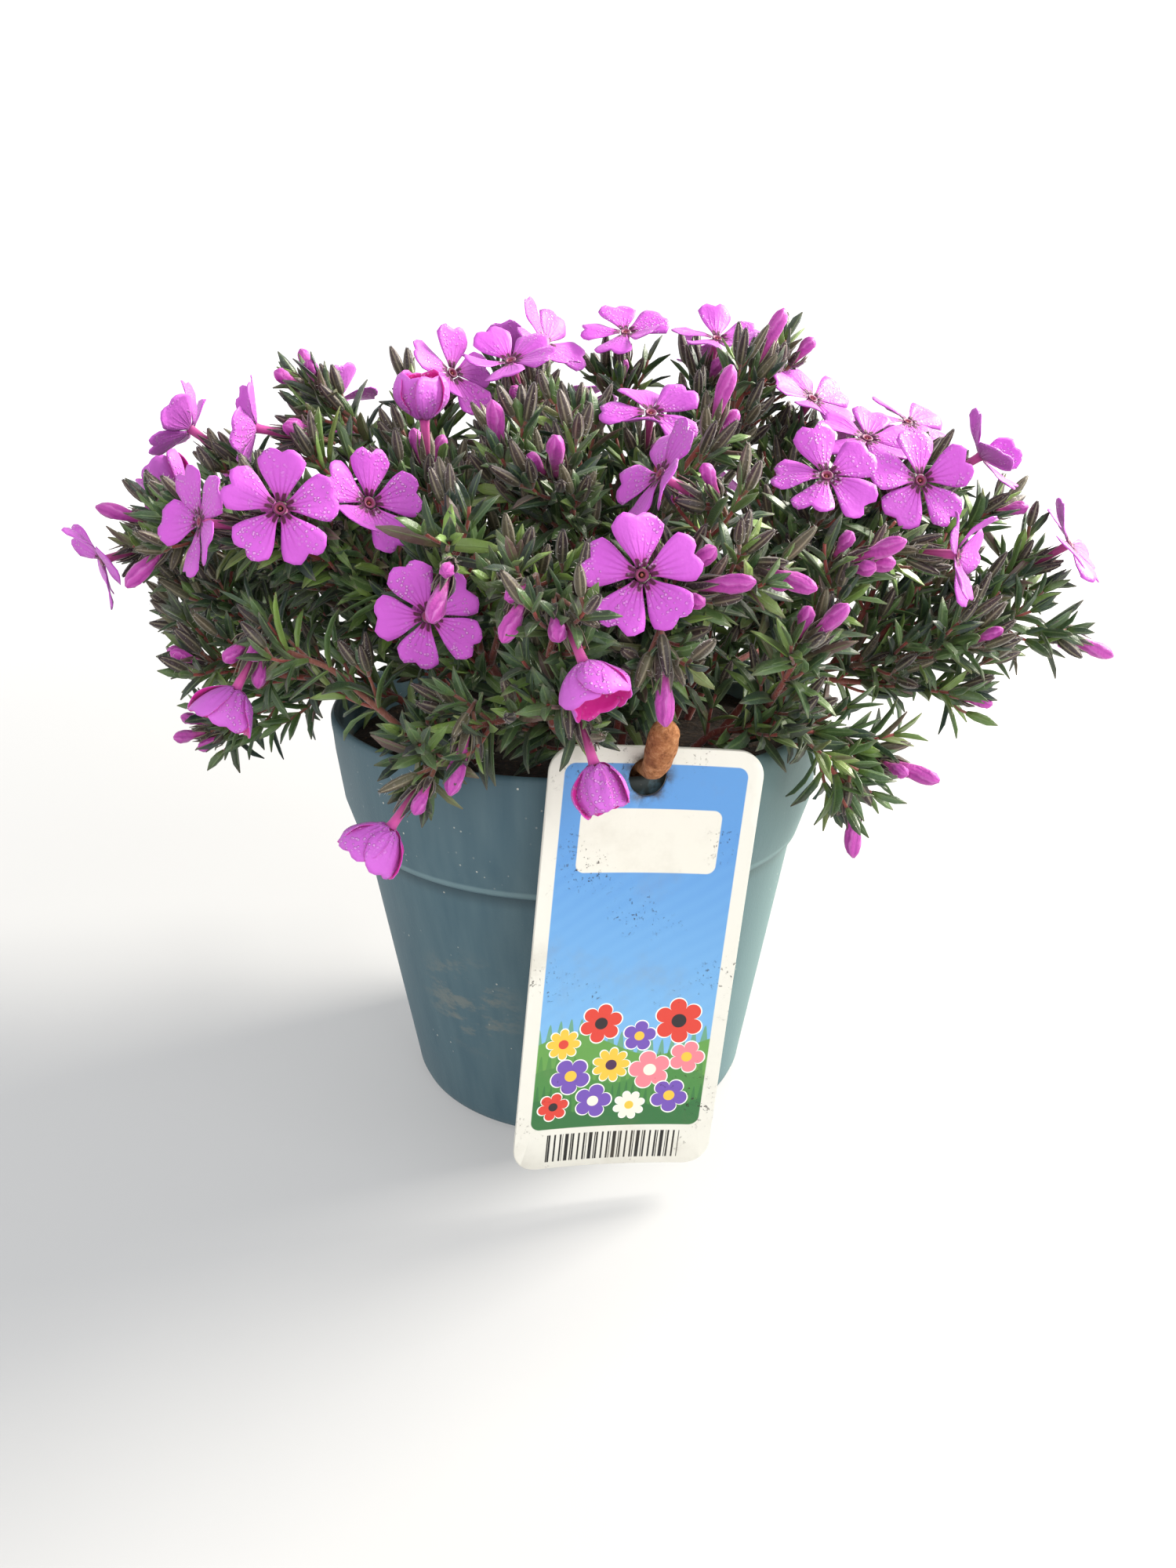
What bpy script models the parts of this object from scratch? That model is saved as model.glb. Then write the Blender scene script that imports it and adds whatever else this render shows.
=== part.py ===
"""Moss phlox in a collared nursery pot, with its hanging label and label peg.

The frame is metres, +Z up, with the origin at the centre of the pot's flat foot. The viewer's side is -Y.
Driving dimensions and the plan of the plant are in millimetres, and each mesh is scaled to metres when it is
made. A bearing is measured round the pot in degrees: 0 faces the viewer, 90 is +X. A rise is measured in
degrees above the horizontal.
"""

import math
import random

import bmesh
import bpy
import numpy as np
from mathutils import Vector
from mathutils.bvhtree import BVHTree

MM = 0.001
FIT_GAP = 0.4

# The pot: a deep collar over a tapered body with a rounded foot.
POT_HEIGHT = 107.0
RIM_RADIUS = 65.0
COLLAR_BOTTOM = 75.0
COLLAR_FOOT_RADIUS = 60.2
BODY_TOP_RADIUS = 58.6
BODY_FOOT_RADIUS = 47.0
FOOT_ROUND = 4.0
WALL = 1.6
FLOOR_THICKNESS = 2.6
POT_SIDES = 36
NOTCHES = 6
NOTCH_SIZE = (14.0, 9.0, 4.0)
NOTCH_REACH = 44.0
DRAIN_RADIUS = 3.6
DRAIN_REACH = 38.5

# The soil, its top a few lumps high.
SOIL_LEVEL = 96.0
SOIL_LUMP = 1.6
SOIL_SIDES = 18
ROOT_DEPTH = 13.0

# The label: a stiff card that hangs on the peg, its sides curled slightly towards the viewer.
LABEL_WIDTH = 48.0
LABEL_LENGTH = 105.0
LABEL_THICKNESS = 1.3
LABEL_CORNER = 6.0
LABEL_COLUMNS = (0.0, 6.0, 12.0, 18.0, 21.0, 23.2, 24.0)
LABEL_CURL = 1.6
LABEL_BEARING = 15.5
LABEL_YAW = 12.0
LABEL_ROLL = 6.0
LABEL_LEAN = 1.2
LABEL_TOP = 114.6
LABEL_REACH = 67.2
SLOT_WIDTH = 8.4
SLOT_HEIGHT = 8.8
SLOT_TOP_EDGE = 2.4
SLOT_SIDES = 16

# The peg: a hook with one leg in the soil, which crosses the rim and turns up in front of the label.
PEG_BEARING = LABEL_BEARING - 2.0
PEG_SHANK_RADIUS = 2.1
PEG_HEAD_RADIUS = 3.4
PEG_SIDES = 8
PEG_AT_LABEL = 5
# Reach from the pot's axis, height and radius at each point of the peg.
PEG_PATH = (
    (53.0, 84.0, PEG_SHANK_RADIUS),
    (53.6, 98.0, PEG_SHANK_RADIUS),
    (55.8, 105.2, PEG_SHANK_RADIUS),
    (59.8, 108.8, PEG_SHANK_RADIUS),
    (64.0, 109.6, PEG_SHANK_RADIUS),
    (68.6, 109.9, PEG_SHANK_RADIUS),
    (72.0, 111.6, 2.7),
    (74.8, 115.0, 3.2),
    (77.2, 119.0, PEG_HEAD_RADIUS),
    (78.8, 122.0, 2.9),
    (79.6, 123.6, 1.6),
)

# The plant. Radii are at a stem's foot and at its end.
SEED = 7
CROWN = np.array((0.0, 0.0, 76.0))
MOUND_REACH_X = 114.0
MOUND_REACH_FRONT = 80.0
MOUND_REACH_BACK = 98.0
MOUND_FOOT = 112.0
MOUND_TOP = 193.0
MOUND_SQUARENESS = 2.6
SPRAYS_LOW = 9
SPRAYS_MIDDLE = 7
SPRAYS_TOP = 4
LEAFY_TIPS = 56
TIP_SPACING = 18.0
CROWDING = 0.02
FORK_SHARE = 0.62
BRANCHES_FROM = 0.6
STEM_RADII = (1.4, 1.0)
BRANCH_RADII = (0.85, 0.7)
STEM_CLEARANCE = 3.0
RIM_CLEARANCE = 3.2
LEAF_LENGTH = 14.0
LEAF_BAND = 1.1
LEAF_CLEARANCE = 0.45
BARE_STRETCH = 22.0
PROBE_STEP = 3.0
PAIRS_AT_TIP = 3
PAIRS_AT_NODE = 2
NODES_ON_BRANCH = 2
NODES_ON_STEM = 1
NODE_SPACING = 11.0
PETALS = 5
PETAL_LENGTH = 10.6
THROAT_RADIUS = 1.5
PETAL_THICKNESS = 0.9
TUBE_LENGTH = 10.5
TUBE_RADIUS = 0.95
CALYX_LENGTH = 6.5
CALYX_SEAT = 1.2
BUD_LENGTH = 15.0

# Each bloom that the viewer sees: name, centre, bearing and rise of its face, and how far it is open.
SEEN_BLOOMS = (
    ("front", (13, -80, 154), 5, 8, 1.0),
    ("left_star", (-60, -60, 164), 5, 16, 1.0),
    ("left_side", (-80, -50, 160), -55, 12, 0.95),
    ("behind_star", (-45, -42, 163), 35, 25, 0.9),
    ("shade", (-30, -66, 143), -6, -6, 0.95),
    ("upper_mid", (17, -24, 181), 10, 58, 1.0),
    ("crest_left", (-31, 6, 189), 45, 30, 0.9),
    ("crest_high", (-8, 20, 196), 60, 38, 0.85),
    ("crest_near", (-16, -2, 192), -25, 60, 0.9),
    ("crest_mid", (12, 26, 193), 0, 62, 1.0),
    ("crest_right", (35, 22, 193), 20, 62, 1.0),
    ("shoulder_high", (59, 6, 183), 40, 50, 0.95),
    ("right_eye", (54, -44, 169), 0, 48, 1.0),
    ("right_inner", (68, -18, 175), 20, 60, 1.0),
    ("right_outer", (82, 8, 175), 35, 62, 1.0),
    ("right_mid", (77, -34, 167), 12, 25, 0.95),
    ("right_back", (99, -6, 170), 75, 34, 0.85),
    ("right_low", (84, -44, 152), 62, 0, 0.9),
    ("far_right", (123, -8, 149), 62, 36, 1.0),
    ("left_back", (-96, 0, 176), -95, 36, 0.8),
    ("left_up", (-76, -14, 177), -78, 12, 0.8),
    ("far_left", (-116, -16, 146), -58, -14, 0.95),
    ("side_on", (17, -62, 171), -72, 30, 0.95),
    ("cup_up", (-34, -28, 180), 0, 82, 0.36),
    ("nod_left", (-76, -50, 123), -48, -56, 0.5),
    ("nod_mid", (2, -86, 138), 35, -50, 0.44),
    ("nod_label", (4, -84, 117), 40, -62, 0.36),
    ("nod_low", (-38, -80, 102), -66, -50, 0.5),
)
# Blooms on the far side: bearing, lift over the mound from 0 at its foot to 1 at its top, and how far open.
FAR_BLOOMS = (
    (118, 0.42, 1.0),
    (142, 0.70, 0.9),
    (152, 0.30, 1.0),
    (180, 0.52, 1.0),
    (203, 0.78, 0.95),
    (214, 0.26, 0.9),
    (238, 0.55, 1.0),
    (262, 0.30, 0.5),
)
# Shoots that stand out of the mound: name, tip, bearing and rise of the tip, and whether it ends in a bud.
SEEN_SHOOTS = (
    ("low_left", (-97, -2, 98), -88, -14, False),
    ("far_right_bud", (122, -12, 127), 86, -22, True),
    ("label_bud", (70, -45, 105), 62, -12, True),
    ("hanging_bud", (63, -53, 99), 30, -82, True),
    ("crest_bud", (44, 2, 190), 80, 66, True),
    ("crest_shoot", (52, 12, 190), 50, 62, False),
    ("crest_left_shoot", (-66, 4, 186), -60, 50, False),
    ("right_shoulder", (104, -2, 157), 78, 30, False),
    ("left_bud", (-104, -8, 154), -86, 16, True),
    ("left_pink", (-92, -34, 154), -50, -40, True),
    ("left_dark", (-106, 6, 128), -90, -6, False),
    ("right_low_shoot", (98, -20, 114), 80, 8, False),
    ("low_bud", (-22, -72, 121), -20, -50, True),
    ("front_bud", (-25, -70, 153), -10, -30, True),
    ("round_bud", (-4, -42, 168), 0, 40, True),
    ("round_bud_left", (-16, -36, 172), -10, 55, True),
    ("small_bud", (-9, -74, 150), -20, -30, True),
    ("cup_bud", (17, -79, 139), 20, -78, True),
    ("side_bud", (22, -72, 150), 60, 10, True),
    ("right_bud", (36, -66, 153), 50, -10, True),
    ("right_front_bud", (58, -50, 151), 50, 25, True),
)


def unit(vector):
    """The vector at length 1."""
    vector = np.asarray(vector, float)
    return vector / np.linalg.norm(vector)


def heading(bearing, rise):
    """The unit vector of a bearing and a rise, in degrees."""
    b, r = math.radians(bearing), math.radians(rise)
    return np.array((math.sin(b) * math.cos(r), -math.cos(b) * math.cos(r), math.sin(r)))


def bezier(p0, p1, p2, p3, count):
    """Points at even steps of the parameter along a cubic curve."""
    t = np.linspace(0.0, 1.0, count)[:, None]
    return (1 - t) ** 3 * p0 + 3 * t * (1 - t) ** 2 * p1 + 3 * t**2 * (1 - t) * p2 + t**3 * p3


def lengths_along(points):
    """The distance travelled at each point of a path."""
    steps = np.linalg.norm(np.diff(points, axis=0), axis=1)
    return np.concatenate(([0.0], np.cumsum(steps)))


def at_length(points, distance):
    """The point at a distance along a path, and the direction of the path around it."""
    travelled = lengths_along(points)
    distance = min(distance, travelled[-1])
    marks = (distance - 0.5, distance, distance + 0.5)
    before, here, after = np.column_stack([np.interp(marks, travelled, points[:, i]) for i in range(3)])
    return here, unit(after - before)


def spaced(path, stretch):
    """Points evenly spaced along a path, no more than a stretch apart, with its two ends."""
    travelled = lengths_along(path)
    marks = np.linspace(0.0, travelled[-1], 2 + int(travelled[-1] // stretch))
    return np.column_stack([np.interp(marks, travelled, path[:, i]) for i in range(3)])


def side_of(direction):
    """A unit vector at right angles to a direction, level where it can be."""
    up = np.array((0.0, 0.0, 1.0)) if abs(direction[2]) < 0.95 else np.array((0.0, 1.0, 0.0))
    return unit(np.cross(up, direction))


def mound_point(bearing, lift):
    """The mound is a squared-off dome, deeper at the back than at the front. lift 0 is its foot, 1 its
    top."""
    b, turn = math.radians(bearing), math.radians(90 * lift)
    depth = MOUND_REACH_FRONT if math.cos(b) > 0 else MOUND_REACH_BACK
    flat = 1.0 / math.hypot(math.sin(b) / MOUND_REACH_X, math.cos(b) / depth)
    reach = flat * math.cos(turn) ** (2 / MOUND_SQUARENESS)
    height = MOUND_FOOT + (MOUND_TOP - MOUND_FOOT) * math.sin(turn) ** (2 / MOUND_SQUARENESS)
    return np.array((math.sin(b) * reach, -math.cos(b) * reach, height))


def petal_line(openness, shares):
    """Reach from the axis and advance along it of points on a petal's middle line. The petal leaves the
    throat at one angle from the axis and ends at another, turning evenly, so that a half-open bloom is a
    cup."""
    first, last = math.radians(42 + 44 * openness), math.radians(-62 + 158 * openness)
    fine = np.linspace(0.0, 1.0, 33)
    angles = first + (last - first) * fine
    step = PETAL_LENGTH / 32
    reach = THROAT_RADIUS + np.concatenate(([0.0], np.cumsum(np.sin(angles[1:]) * step)))
    advance = np.concatenate(([0.0], np.cumsum(np.cos(angles[1:]) * step)))
    return np.interp(shares, fine, reach), np.interp(shares, fine, advance)


def half_width(openness):
    """Half of a petal's width. Petals of a cup are folded narrower."""
    return 2.3 + 2.1 * openness


def bloom_frame(bloom):
    """The bloom's own axes: two across its face, and its facing direction."""
    facing = bloom["facing"]
    across = side_of(facing)
    return across, np.cross(facing, across), facing


def bloom_point(bloom, reach, angle, advance, sideways=0.0):
    """A point of a bloom from its reach, its angle round the axis, its advance and a step to the side."""
    across, along, facing = bloom_frame(bloom)
    out = math.cos(angle) * across + math.sin(angle) * along
    side = -math.sin(angle) * across + math.cos(angle) * along
    return bloom["centre"] + out * reach + side * sideways + facing * advance


def petal_angle(bloom, petal):
    """The angle of a petal's middle line round the bloom's axis. Half a petal on, it is the gap between
    two."""
    return bloom["turn"] + 2 * math.pi * petal / PETALS


def bloom_probes(bloom):
    """Points spread over a bloom's petals and tube, by which stems and other blooms keep clear of it."""
    reach, advance = petal_line(bloom["open"], (0.35, 0.7, 1.0))
    width = half_width(bloom["open"])
    probes = [bloom["centre"] - bloom["facing"] * d for d in (2.5, 5.0, 7.5)]
    for petal in range(PETALS):
        angle = petal_angle(bloom, petal)
        for r, a in zip(reach, advance):
            for side in (-0.6 * width, 0.6 * width):
                probes.append(bloom_point(bloom, r, angle, a, side))
    return np.array(probes)


def plan_blooms(rng):
    """Every bloom's centre, facing direction and openness. Those too close together are moved out, one by
    one."""
    blooms = []
    for name, centre, bearing, rise, openness in SEEN_BLOOMS:
        facing = heading(bearing, rise)
        blooms.append({"name": name, "centre": np.array(centre, float), "facing": facing, "open": openness})
    for i, (bearing, lift, openness) in enumerate(FAR_BLOOMS, 1):
        centre = mound_point(bearing, lift)
        facing = unit(unit(centre - CROWN) + np.array((0.0, 0.0, 0.25)))
        blooms.append({"name": f"far_{i}", "centre": centre + 4 * facing, "facing": facing, "open": openness})
    for bloom in blooms:
        bloom["turn"] = rng.uniform(0.0, 2 * math.pi / PETALS)
    for i, bloom in enumerate(blooms):
        for _ in range(12):
            others = [bloom_probes(other) for other in blooms[:i]]
            if not others or nearest(bloom_probes(bloom), np.concatenate(others)) > 2.2:
                break
            bloom["centre"] = bloom["centre"] + 1.5 * unit(bloom["centre"] - CROWN)
    return blooms


def nearest(points, others):
    """The smallest distance between two sets of points."""
    return float(np.min(np.linalg.norm(points[:, None, :] - others[None, :, :], axis=2)))


def plan_tips(rng, blooms):
    """Every branch's end: the calyx under a bloom, a bud, or a leafy tip that fills the mound between
    them."""
    tips = []
    for i, bloom in enumerate(blooms):
        seat = bloom["centre"] - bloom["facing"] * (TUBE_LENGTH + CALYX_SEAT + FIT_GAP)
        tips.append({"end": seat, "aim": bloom["facing"], "kind": "bloom", "bloom": i})
    for _, tip, bearing, rise, bud in SEEN_SHOOTS:
        aim = heading(bearing, rise)
        tips.append({"end": np.array(tip, float), "aim": aim, "kind": "bud" if bud else "leaf"})
    probes = np.concatenate([bloom_probes(bloom) for bloom in blooms])
    taken = [tip["end"] for tip in tips]
    golden = 180 * (3 - math.sqrt(5))
    for i in range(LEAFY_TIPS):
        lift = math.degrees(math.asin((i + 0.5) / LEAFY_TIPS)) / 90
        outer = mound_point(golden * i + rng.uniform(-8, 8), lift)
        aim = unit(unit(outer - CROWN) + np.array((0.0, 0.0, 0.15)))
        end = outer - aim * rng.uniform(6.0, 14.0)
        ahead = end + aim * 6.0
        if nearest(end[None, :], np.array(taken)) < TIP_SPACING or nearest(ahead[None, :], probes) < 7.0:
            continue
        taken.append(end)
        tips.append({"end": end, "aim": aim, "kind": "bud" if rng.random() < 0.3 else "leaf"})
    return tips


def spray_directions():
    """Sprays stand in three rings round the crown: low ones that arch over the rim, middle ones and top
    ones."""
    directions = []
    for count, rise, shift in ((SPRAYS_LOW, 22, 0.0), (SPRAYS_MIDDLE, 48, 0.5), (SPRAYS_TOP, 74, 0.25)):
        for i in range(count):
            directions.append((360 * (i + shift) / count, rise))
    return directions


def plan_sprays(tips):
    """Each spray takes the tips that lie nearest to its direction, and its main stem forks below their
    middle."""
    sprays = []
    for bearing, rise in spray_directions():
        lean = (90 - rise) / 90
        hole = np.array((0.0, 0.0, SOIL_LEVEL)) + heading(bearing, 0) * (4 + 42 * lean)
        start = unit(heading(bearing, 0) * 0.34 * lean + np.array((0.0, 0.0, 1.0)))
        sprays.append({"facing": heading(bearing, rise), "hole": hole, "start": start, "tips": []})
    for tip in tips:
        toward = unit(tip["end"] - CROWN)
        scores = [spray["facing"] @ toward - CROWDING * len(spray["tips"]) for spray in sprays]
        sprays[int(np.argmax(scores))]["tips"].append(tip)
    return [spray for spray in sprays if spray["tips"]]


def clear_of_pot(path, margin):
    """True where a path stays over the rim or outside the collar, off the soil, and off the label and the
    peg."""
    reach = np.hypot(path[:, 0], path[:, 1])
    inside, outside = reach < RIM_RADIUS - 5, reach > RIM_RADIUS + margin
    by_wall = inside | outside | (path[:, 2] > POT_HEIGHT + margin)
    above_soil = ~inside | (path[:, 2] > SOIL_LEVEL + 1.0)
    bearing = np.degrees(np.arctan2(path[:, 0], -path[:, 1]))
    by_label = (np.abs(bearing - LABEL_BEARING) < 26) & (reach > RIM_RADIUS - 6) & (reach < RIM_RADIUS + 14)
    top = np.where(np.abs(bearing - PEG_BEARING) < 8, PEG_PATH[-1][1] + 4.0, LABEL_TOP + 4.0)
    return bool(np.all(by_wall & above_soil & (~by_label | (path[:, 2] > top))))


def route(rng, start, leave, end, arrive, bends, sway, taken, own):
    """A curved path from start to end that keeps clear of the pot and of the points already taken. It
    leaves and arrives in the given directions, the first of them held where sway is 0. The first clear one
    of some ever wider seeded tries is kept."""
    span = np.linalg.norm(end - start)
    best, best_gap = None, -9.0
    for attempt in range(60):
        spread = 0.012 * attempt * span
        shifts = [np.array([rng.uniform(-spread, spread) for _ in range(3)]) for _ in range(2)]
        first = start + leave * span * bends[0] * rng.uniform(1.0, 1.0 + 0.02 * attempt) + sway * shifts[0]
        second = end - arrive * span * bends[1] + shifts[1]
        path = spaced(bezier(start, first, second, end, 17), BARE_STRETCH)
        along = spaced(path, PROBE_STEP)
        gap = nearest(along[1:], taken) if len(taken) else STEM_CLEARANCE
        if len(own):
            gap = min(gap, 1.3 * nearest(along[4:], own))
        gap = min(gap, STEM_CLEARANCE)
        if not clear_of_pot(along[1:], RIM_CLEARANCE):
            gap -= 4.0
        if gap > best_gap:
            best, best_gap = path, gap
        if best_gap >= STEM_CLEARANCE:
            break
    return best


def joined(paths):
    """The points of several paths in one array."""
    return np.concatenate(paths) if paths else np.empty((0, 3))


def plan_paths(rng, sprays, blooms):
    """Routes each spray's main stem to its fork, then each branch from the stem to its end."""
    probes = {i: bloom_probes(bloom) for i, bloom in enumerate(blooms)}
    laid = []
    for number, spray in enumerate(sprays):
        middle = np.mean([tip["end"] for tip in spray["tips"]], axis=0)
        fork = spray["hole"] + FORK_SHARE * (middle - spray["hole"])
        fork[2] = max(fork[2], POT_HEIGHT + 7.0)
        arrive = unit(middle - spray["hole"])
        taken = joined([points for _, points in laid])
        path = route(rng, spray["hole"], spray["start"], fork, arrive, (0.4, 0.3), 0, taken, ())
        root = spray["hole"] - spray["start"] * ROOT_DEPTH
        spray["stem"] = np.vstack((root, path))
        laid.append((number, spaced(path, PROBE_STEP)))
        spray["branches"] = []
    for number, spray in enumerate(sprays):
        order = sorted(spray["tips"], key=lambda tip: np.linalg.norm(tip["end"] - spray["hole"]))
        length = lengths_along(spray["stem"])[-1]
        own = []
        for rank, tip in enumerate(order):
            share = BRANCHES_FROM + (1 - BRANCHES_FROM) * (rank + 1) / len(order)
            start, leave = at_length(spray["stem"], share * length)
            others = [points for owner, points in laid if owner != number]
            others += [points for i, points in probes.items() if i != tip.get("bloom")]
            toward = unit(leave + 1.1 * unit(tip["end"] - start))
            bends = (0.3, 0.32)
            path = route(rng, start, toward, tip["end"], tip["aim"], bends, 1, joined(others), joined(own))
            along = spaced(path, PROBE_STEP)
            laid.append((number, along))
            own.append(along[4:])
            spray["branches"].append({"path": path, "tip": tip})
    return sprays


def plan_pairs(rng, path, first, nodes, at_tip):
    """Leaf pairs along a stem, in clusters from its end down to the distance first. Each pair is turned a
    quarter from the last, and leaves lower down are longer and stand out more."""
    pairs, distance, turned = [], round(lengths_along(path)[-1] - 0.8, 6), rng.randrange(2)
    for node in range(nodes):
        for _ in range(at_tip if node == 0 else PAIRS_AT_NODE):
            if distance - LEAF_BAND < first:
                return pairs[::-1]
            age = min(len(pairs) / 4, 1.0)
            leaves = []
            for _ in range(2):
                length = LEAF_LENGTH * (0.68 + 0.4 * age) * rng.uniform(0.85, 1.12)
                leaves.append({"length": length, "angle": math.radians(30 + 34 * age + rng.uniform(-7, 7))})
            pairs.append({"at": distance, "turned": turned, "leaves": leaves})
            turned = 1 - turned
            distance = round(distance - LEAF_BAND, 6)
        distance = round(distance - NODE_SPACING * rng.uniform(0.8, 1.2), 6)
    return pairs[::-1]


def plan_plant():
    """The whole plant: blooms, and sprays with their stems, branches and leaf pairs. It is the same each
    run."""
    rng = random.Random(SEED)
    blooms = plan_blooms(rng)
    sprays = plan_paths(rng, plan_sprays(plan_tips(rng, blooms)), blooms)
    for spray in sprays:
        for branch in spray["branches"]:
            at_tip = PAIRS_AT_TIP if branch["tip"]["kind"] == "leaf" else PAIRS_AT_NODE
            branch["pairs"] = plan_pairs(rng, branch["path"], 6.0, NODES_ON_BRANCH, at_tip)
        spray["pairs"] = plan_pairs(rng, spray["stem"], ROOT_DEPTH + 8.0, NODES_ON_STEM, PAIRS_AT_NODE)
    return blooms, sprays


# Meshes. Each shape is a pair: its points in millimetres, and its faces.


def tube(path, radii, sides):
    """A closed round bar along a path, its rings carried along without twisting."""
    path = np.asarray(path, float)
    tangents = np.gradient(path, axis=0)
    side = side_of(unit(tangents[0]))
    points, faces = [], []
    for centre, tangent, radius in zip(path, tangents, radii):
        tangent = unit(tangent)
        side = unit(side - (side @ tangent) * tangent)
        other = np.cross(tangent, side)
        for k in range(sides):
            angle = 2 * math.pi * k / sides
            points.append(centre + radius * (math.cos(angle) * side + math.sin(angle) * other))
    for ring in range(len(path) - 1):
        for k in range(sides):
            a, b = ring * sides + k, ring * sides + (k + 1) % sides
            faces.append((a, b, b + sides, a + sides))
    faces.append(tuple(range(sides))[::-1])
    faces.append(tuple(range((len(path) - 1) * sides, len(path) * sides)))
    return np.array(points), faces


def carried_rings(path, stops, radii):
    """Square rings across a path at given distances along it, carried along without twisting."""
    rings, side = [], None
    for stop, radius in zip(stops, radii):
        centre, tangent = at_length(path, stop)
        side = side_of(tangent) if side is None else side
        side = unit(side - (side @ tangent) * tangent)
        other = np.cross(tangent, side)
        rings.append([centre + radius * way for way in (side, other, -side, -other)])
    return rings


def leaf_shape(low, high, corner, leaf, lean=0.0, scale=1.0):
    """An awl-shaped leaf that wraps half of the stem: its foot is the stem's skin on both sides of a corner
    between two rings. Returns the six points of its foot, in order round it, and its tip."""
    before, after = (corner - 1) % 4, (corner + 1) % 4
    foot = [low[before], low[corner], low[after], high[after], high[corner], high[before]]
    low_centre, high_centre = np.mean(low, axis=0), np.mean(high, axis=0)
    tangent = unit(high_centre - low_centre)
    out = unit(low[corner] - low_centre)
    side = np.cross(tangent, out)
    along = math.cos(leaf["angle"]) * tangent + math.sin(leaf["angle"]) * out + lean * side
    tip = (low_centre + high_centre) / 2 + unit(along) * leaf["length"] * scale
    return foot, tip


def leaf_solid(foot, tip, inset=0.0):
    """A closed shape of one leaf, for testing what it would meet. inset leaves out a share of it at its
    foot."""
    points = [point + inset * (tip - point) for point in foot] + [tip]
    faces = [(0, 1, 4, 5), (1, 2, 3, 4)] + [(i, (i + 1) % 6, 6) for i in range(6)]
    return np.array(points), faces


def zipper(low, high):
    """Triangles that close the band between two rings with different numbers of points."""
    faces, i, j = [], 0, 0
    while i < len(low) or j < len(high):
        if j == len(high) or (i < len(low) and (i + 1) / len(low) <= (j + 1) / len(high)):
            faces.append((low[i % len(low)], low[(i + 1) % len(low)], high[j % len(high)]))
            i += 1
        else:
            faces.append((low[i % len(low)], high[(j + 1) % len(high)], high[j % len(high)]))
            j += 1
    return faces


def calyx_end(points, faces, last, bloom):
    """Ends a stem in a five-toothed cup that holds the foot of a bloom's tube in its seat. The cup's outer
    and inner walls share its toothed rim."""
    seat = -TUBE_LENGTH - FIT_GAP

    def ring(radius, advance, shift=0.0):
        first = len(points)
        for k in range(PETALS):
            points.append(bloom_point(bloom, radius, petal_angle(bloom, k - 0.5 + shift), advance))
        return list(range(first, first + PETALS))

    belly = ring(TUBE_RADIUS + 1.25, seat - 0.4)
    teeth = ring(TUBE_RADIUS + 1.35, seat + CALYX_LENGTH - CALYX_SEAT)
    valleys = ring(TUBE_RADIUS + 1.05, seat + 0.5 * CALYX_LENGTH - CALYX_SEAT, 0.5)
    inner = ring(TUBE_RADIUS + 0.45, seat)
    start = int(np.argmin([np.linalg.norm(points[i] - points[last[0]]) for i in belly]))
    faces += zipper(last, belly[start:] + belly[:start])
    for k in range(PETALS):
        after = (k + 1) % PETALS
        faces += [(belly[k], belly[after], valleys[k]), (belly[k], valleys[k], teeth[k])]
        faces += [(belly[after], teeth[after], valleys[k]), (inner[k], teeth[k], valleys[k])]
        faces += [(inner[k], valleys[k], inner[after]), (inner[after], valleys[k], teeth[after])]
    faces.append(tuple(inner))


def tip_end(points, faces, last, marks, end, aim):
    """Ends a stem in square rings at (advance, radius) marks and a point at the last mark."""
    centre = np.mean([points[i] for i in last], axis=0)
    ways = [unit(points[i] - centre) for i in last]
    for advance, radius in marks[:-1]:
        ring = list(range(len(points), len(points) + 4))
        points.extend(end + aim * advance + way * radius for way in ways)
        faces += [(last[k], last[(k + 1) % 4], ring[(k + 1) % 4], ring[k]) for k in range(4)]
        last = ring
    points.append(end + aim * marks[-1][0])
    faces += [(last[k], last[(k + 1) % 4], len(points) - 1) for k in range(4)]


def stem_rings(path, radii, pairs):
    """A stem's rings, one at each point of its path and two at each leaf pair, with the pair that starts at
    each. A path's point that lies at a pair gives up its ring."""
    places = {distance: None for distance in lengths_along(path)}
    total = max(places)
    for pair in pairs:
        low, high = round(pair["at"] - LEAF_BAND, 6), pair["at"]
        for place in [p for p in places if low - 0.9 < p < min(high + 0.9, total) and not places[p]]:
            del places[place]
        places[low] = pair
        places.setdefault(high, None)
    ordered = sorted(places)
    return carried_rings(path, ordered, np.interp(ordered, (0.0, total), radii)), [places[p] for p in ordered]


def leafy_stem(path, radii, pairs, finish):
    """One stem as a closed shape: square rings along its path, its leaves drawn out of its skin between two
    rings, and an end made by finish. A leaf that was given up has no "tip" and leaves the skin plain."""
    rings, starts = stem_rings(path, radii, pairs)
    points = [point for ring in rings for point in ring]
    faces = [(3, 2, 1, 0)]
    for i in range(len(rings) - 1):
        low, high = range(4 * i, 4 * i + 4), range(4 * i + 4, 4 * i + 8)
        pair, leafed = starts[i], {}
        if pair:
            for leaf, corner in zip(pair["leaves"], (pair["turned"], pair["turned"] + 2)):
                if "tip" in leaf:
                    leafed[corner] = leaf["tip"]
        covered = [(corner + step) % 4 for corner in leafed for step in (-1, 0)]
        bare = [k for k in range(4) if k not in covered]
        faces += [(low[k], low[(k + 1) % 4], high[(k + 1) % 4], high[k]) for k in bare]
        for corner, tip in leafed.items():
            before, after = (corner - 1) % 4, (corner + 1) % 4
            loop = [low[before], low[corner], low[after], high[after], high[corner], high[before]]
            points.append(tip)
            faces += [(loop[k], loop[(k + 1) % 6], len(points) - 1) for k in range(6)]
    last = list(range(4 * len(rings) - 4, 4 * len(rings)))
    finish(points, faces, last)
    return np.array(points), faces


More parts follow.
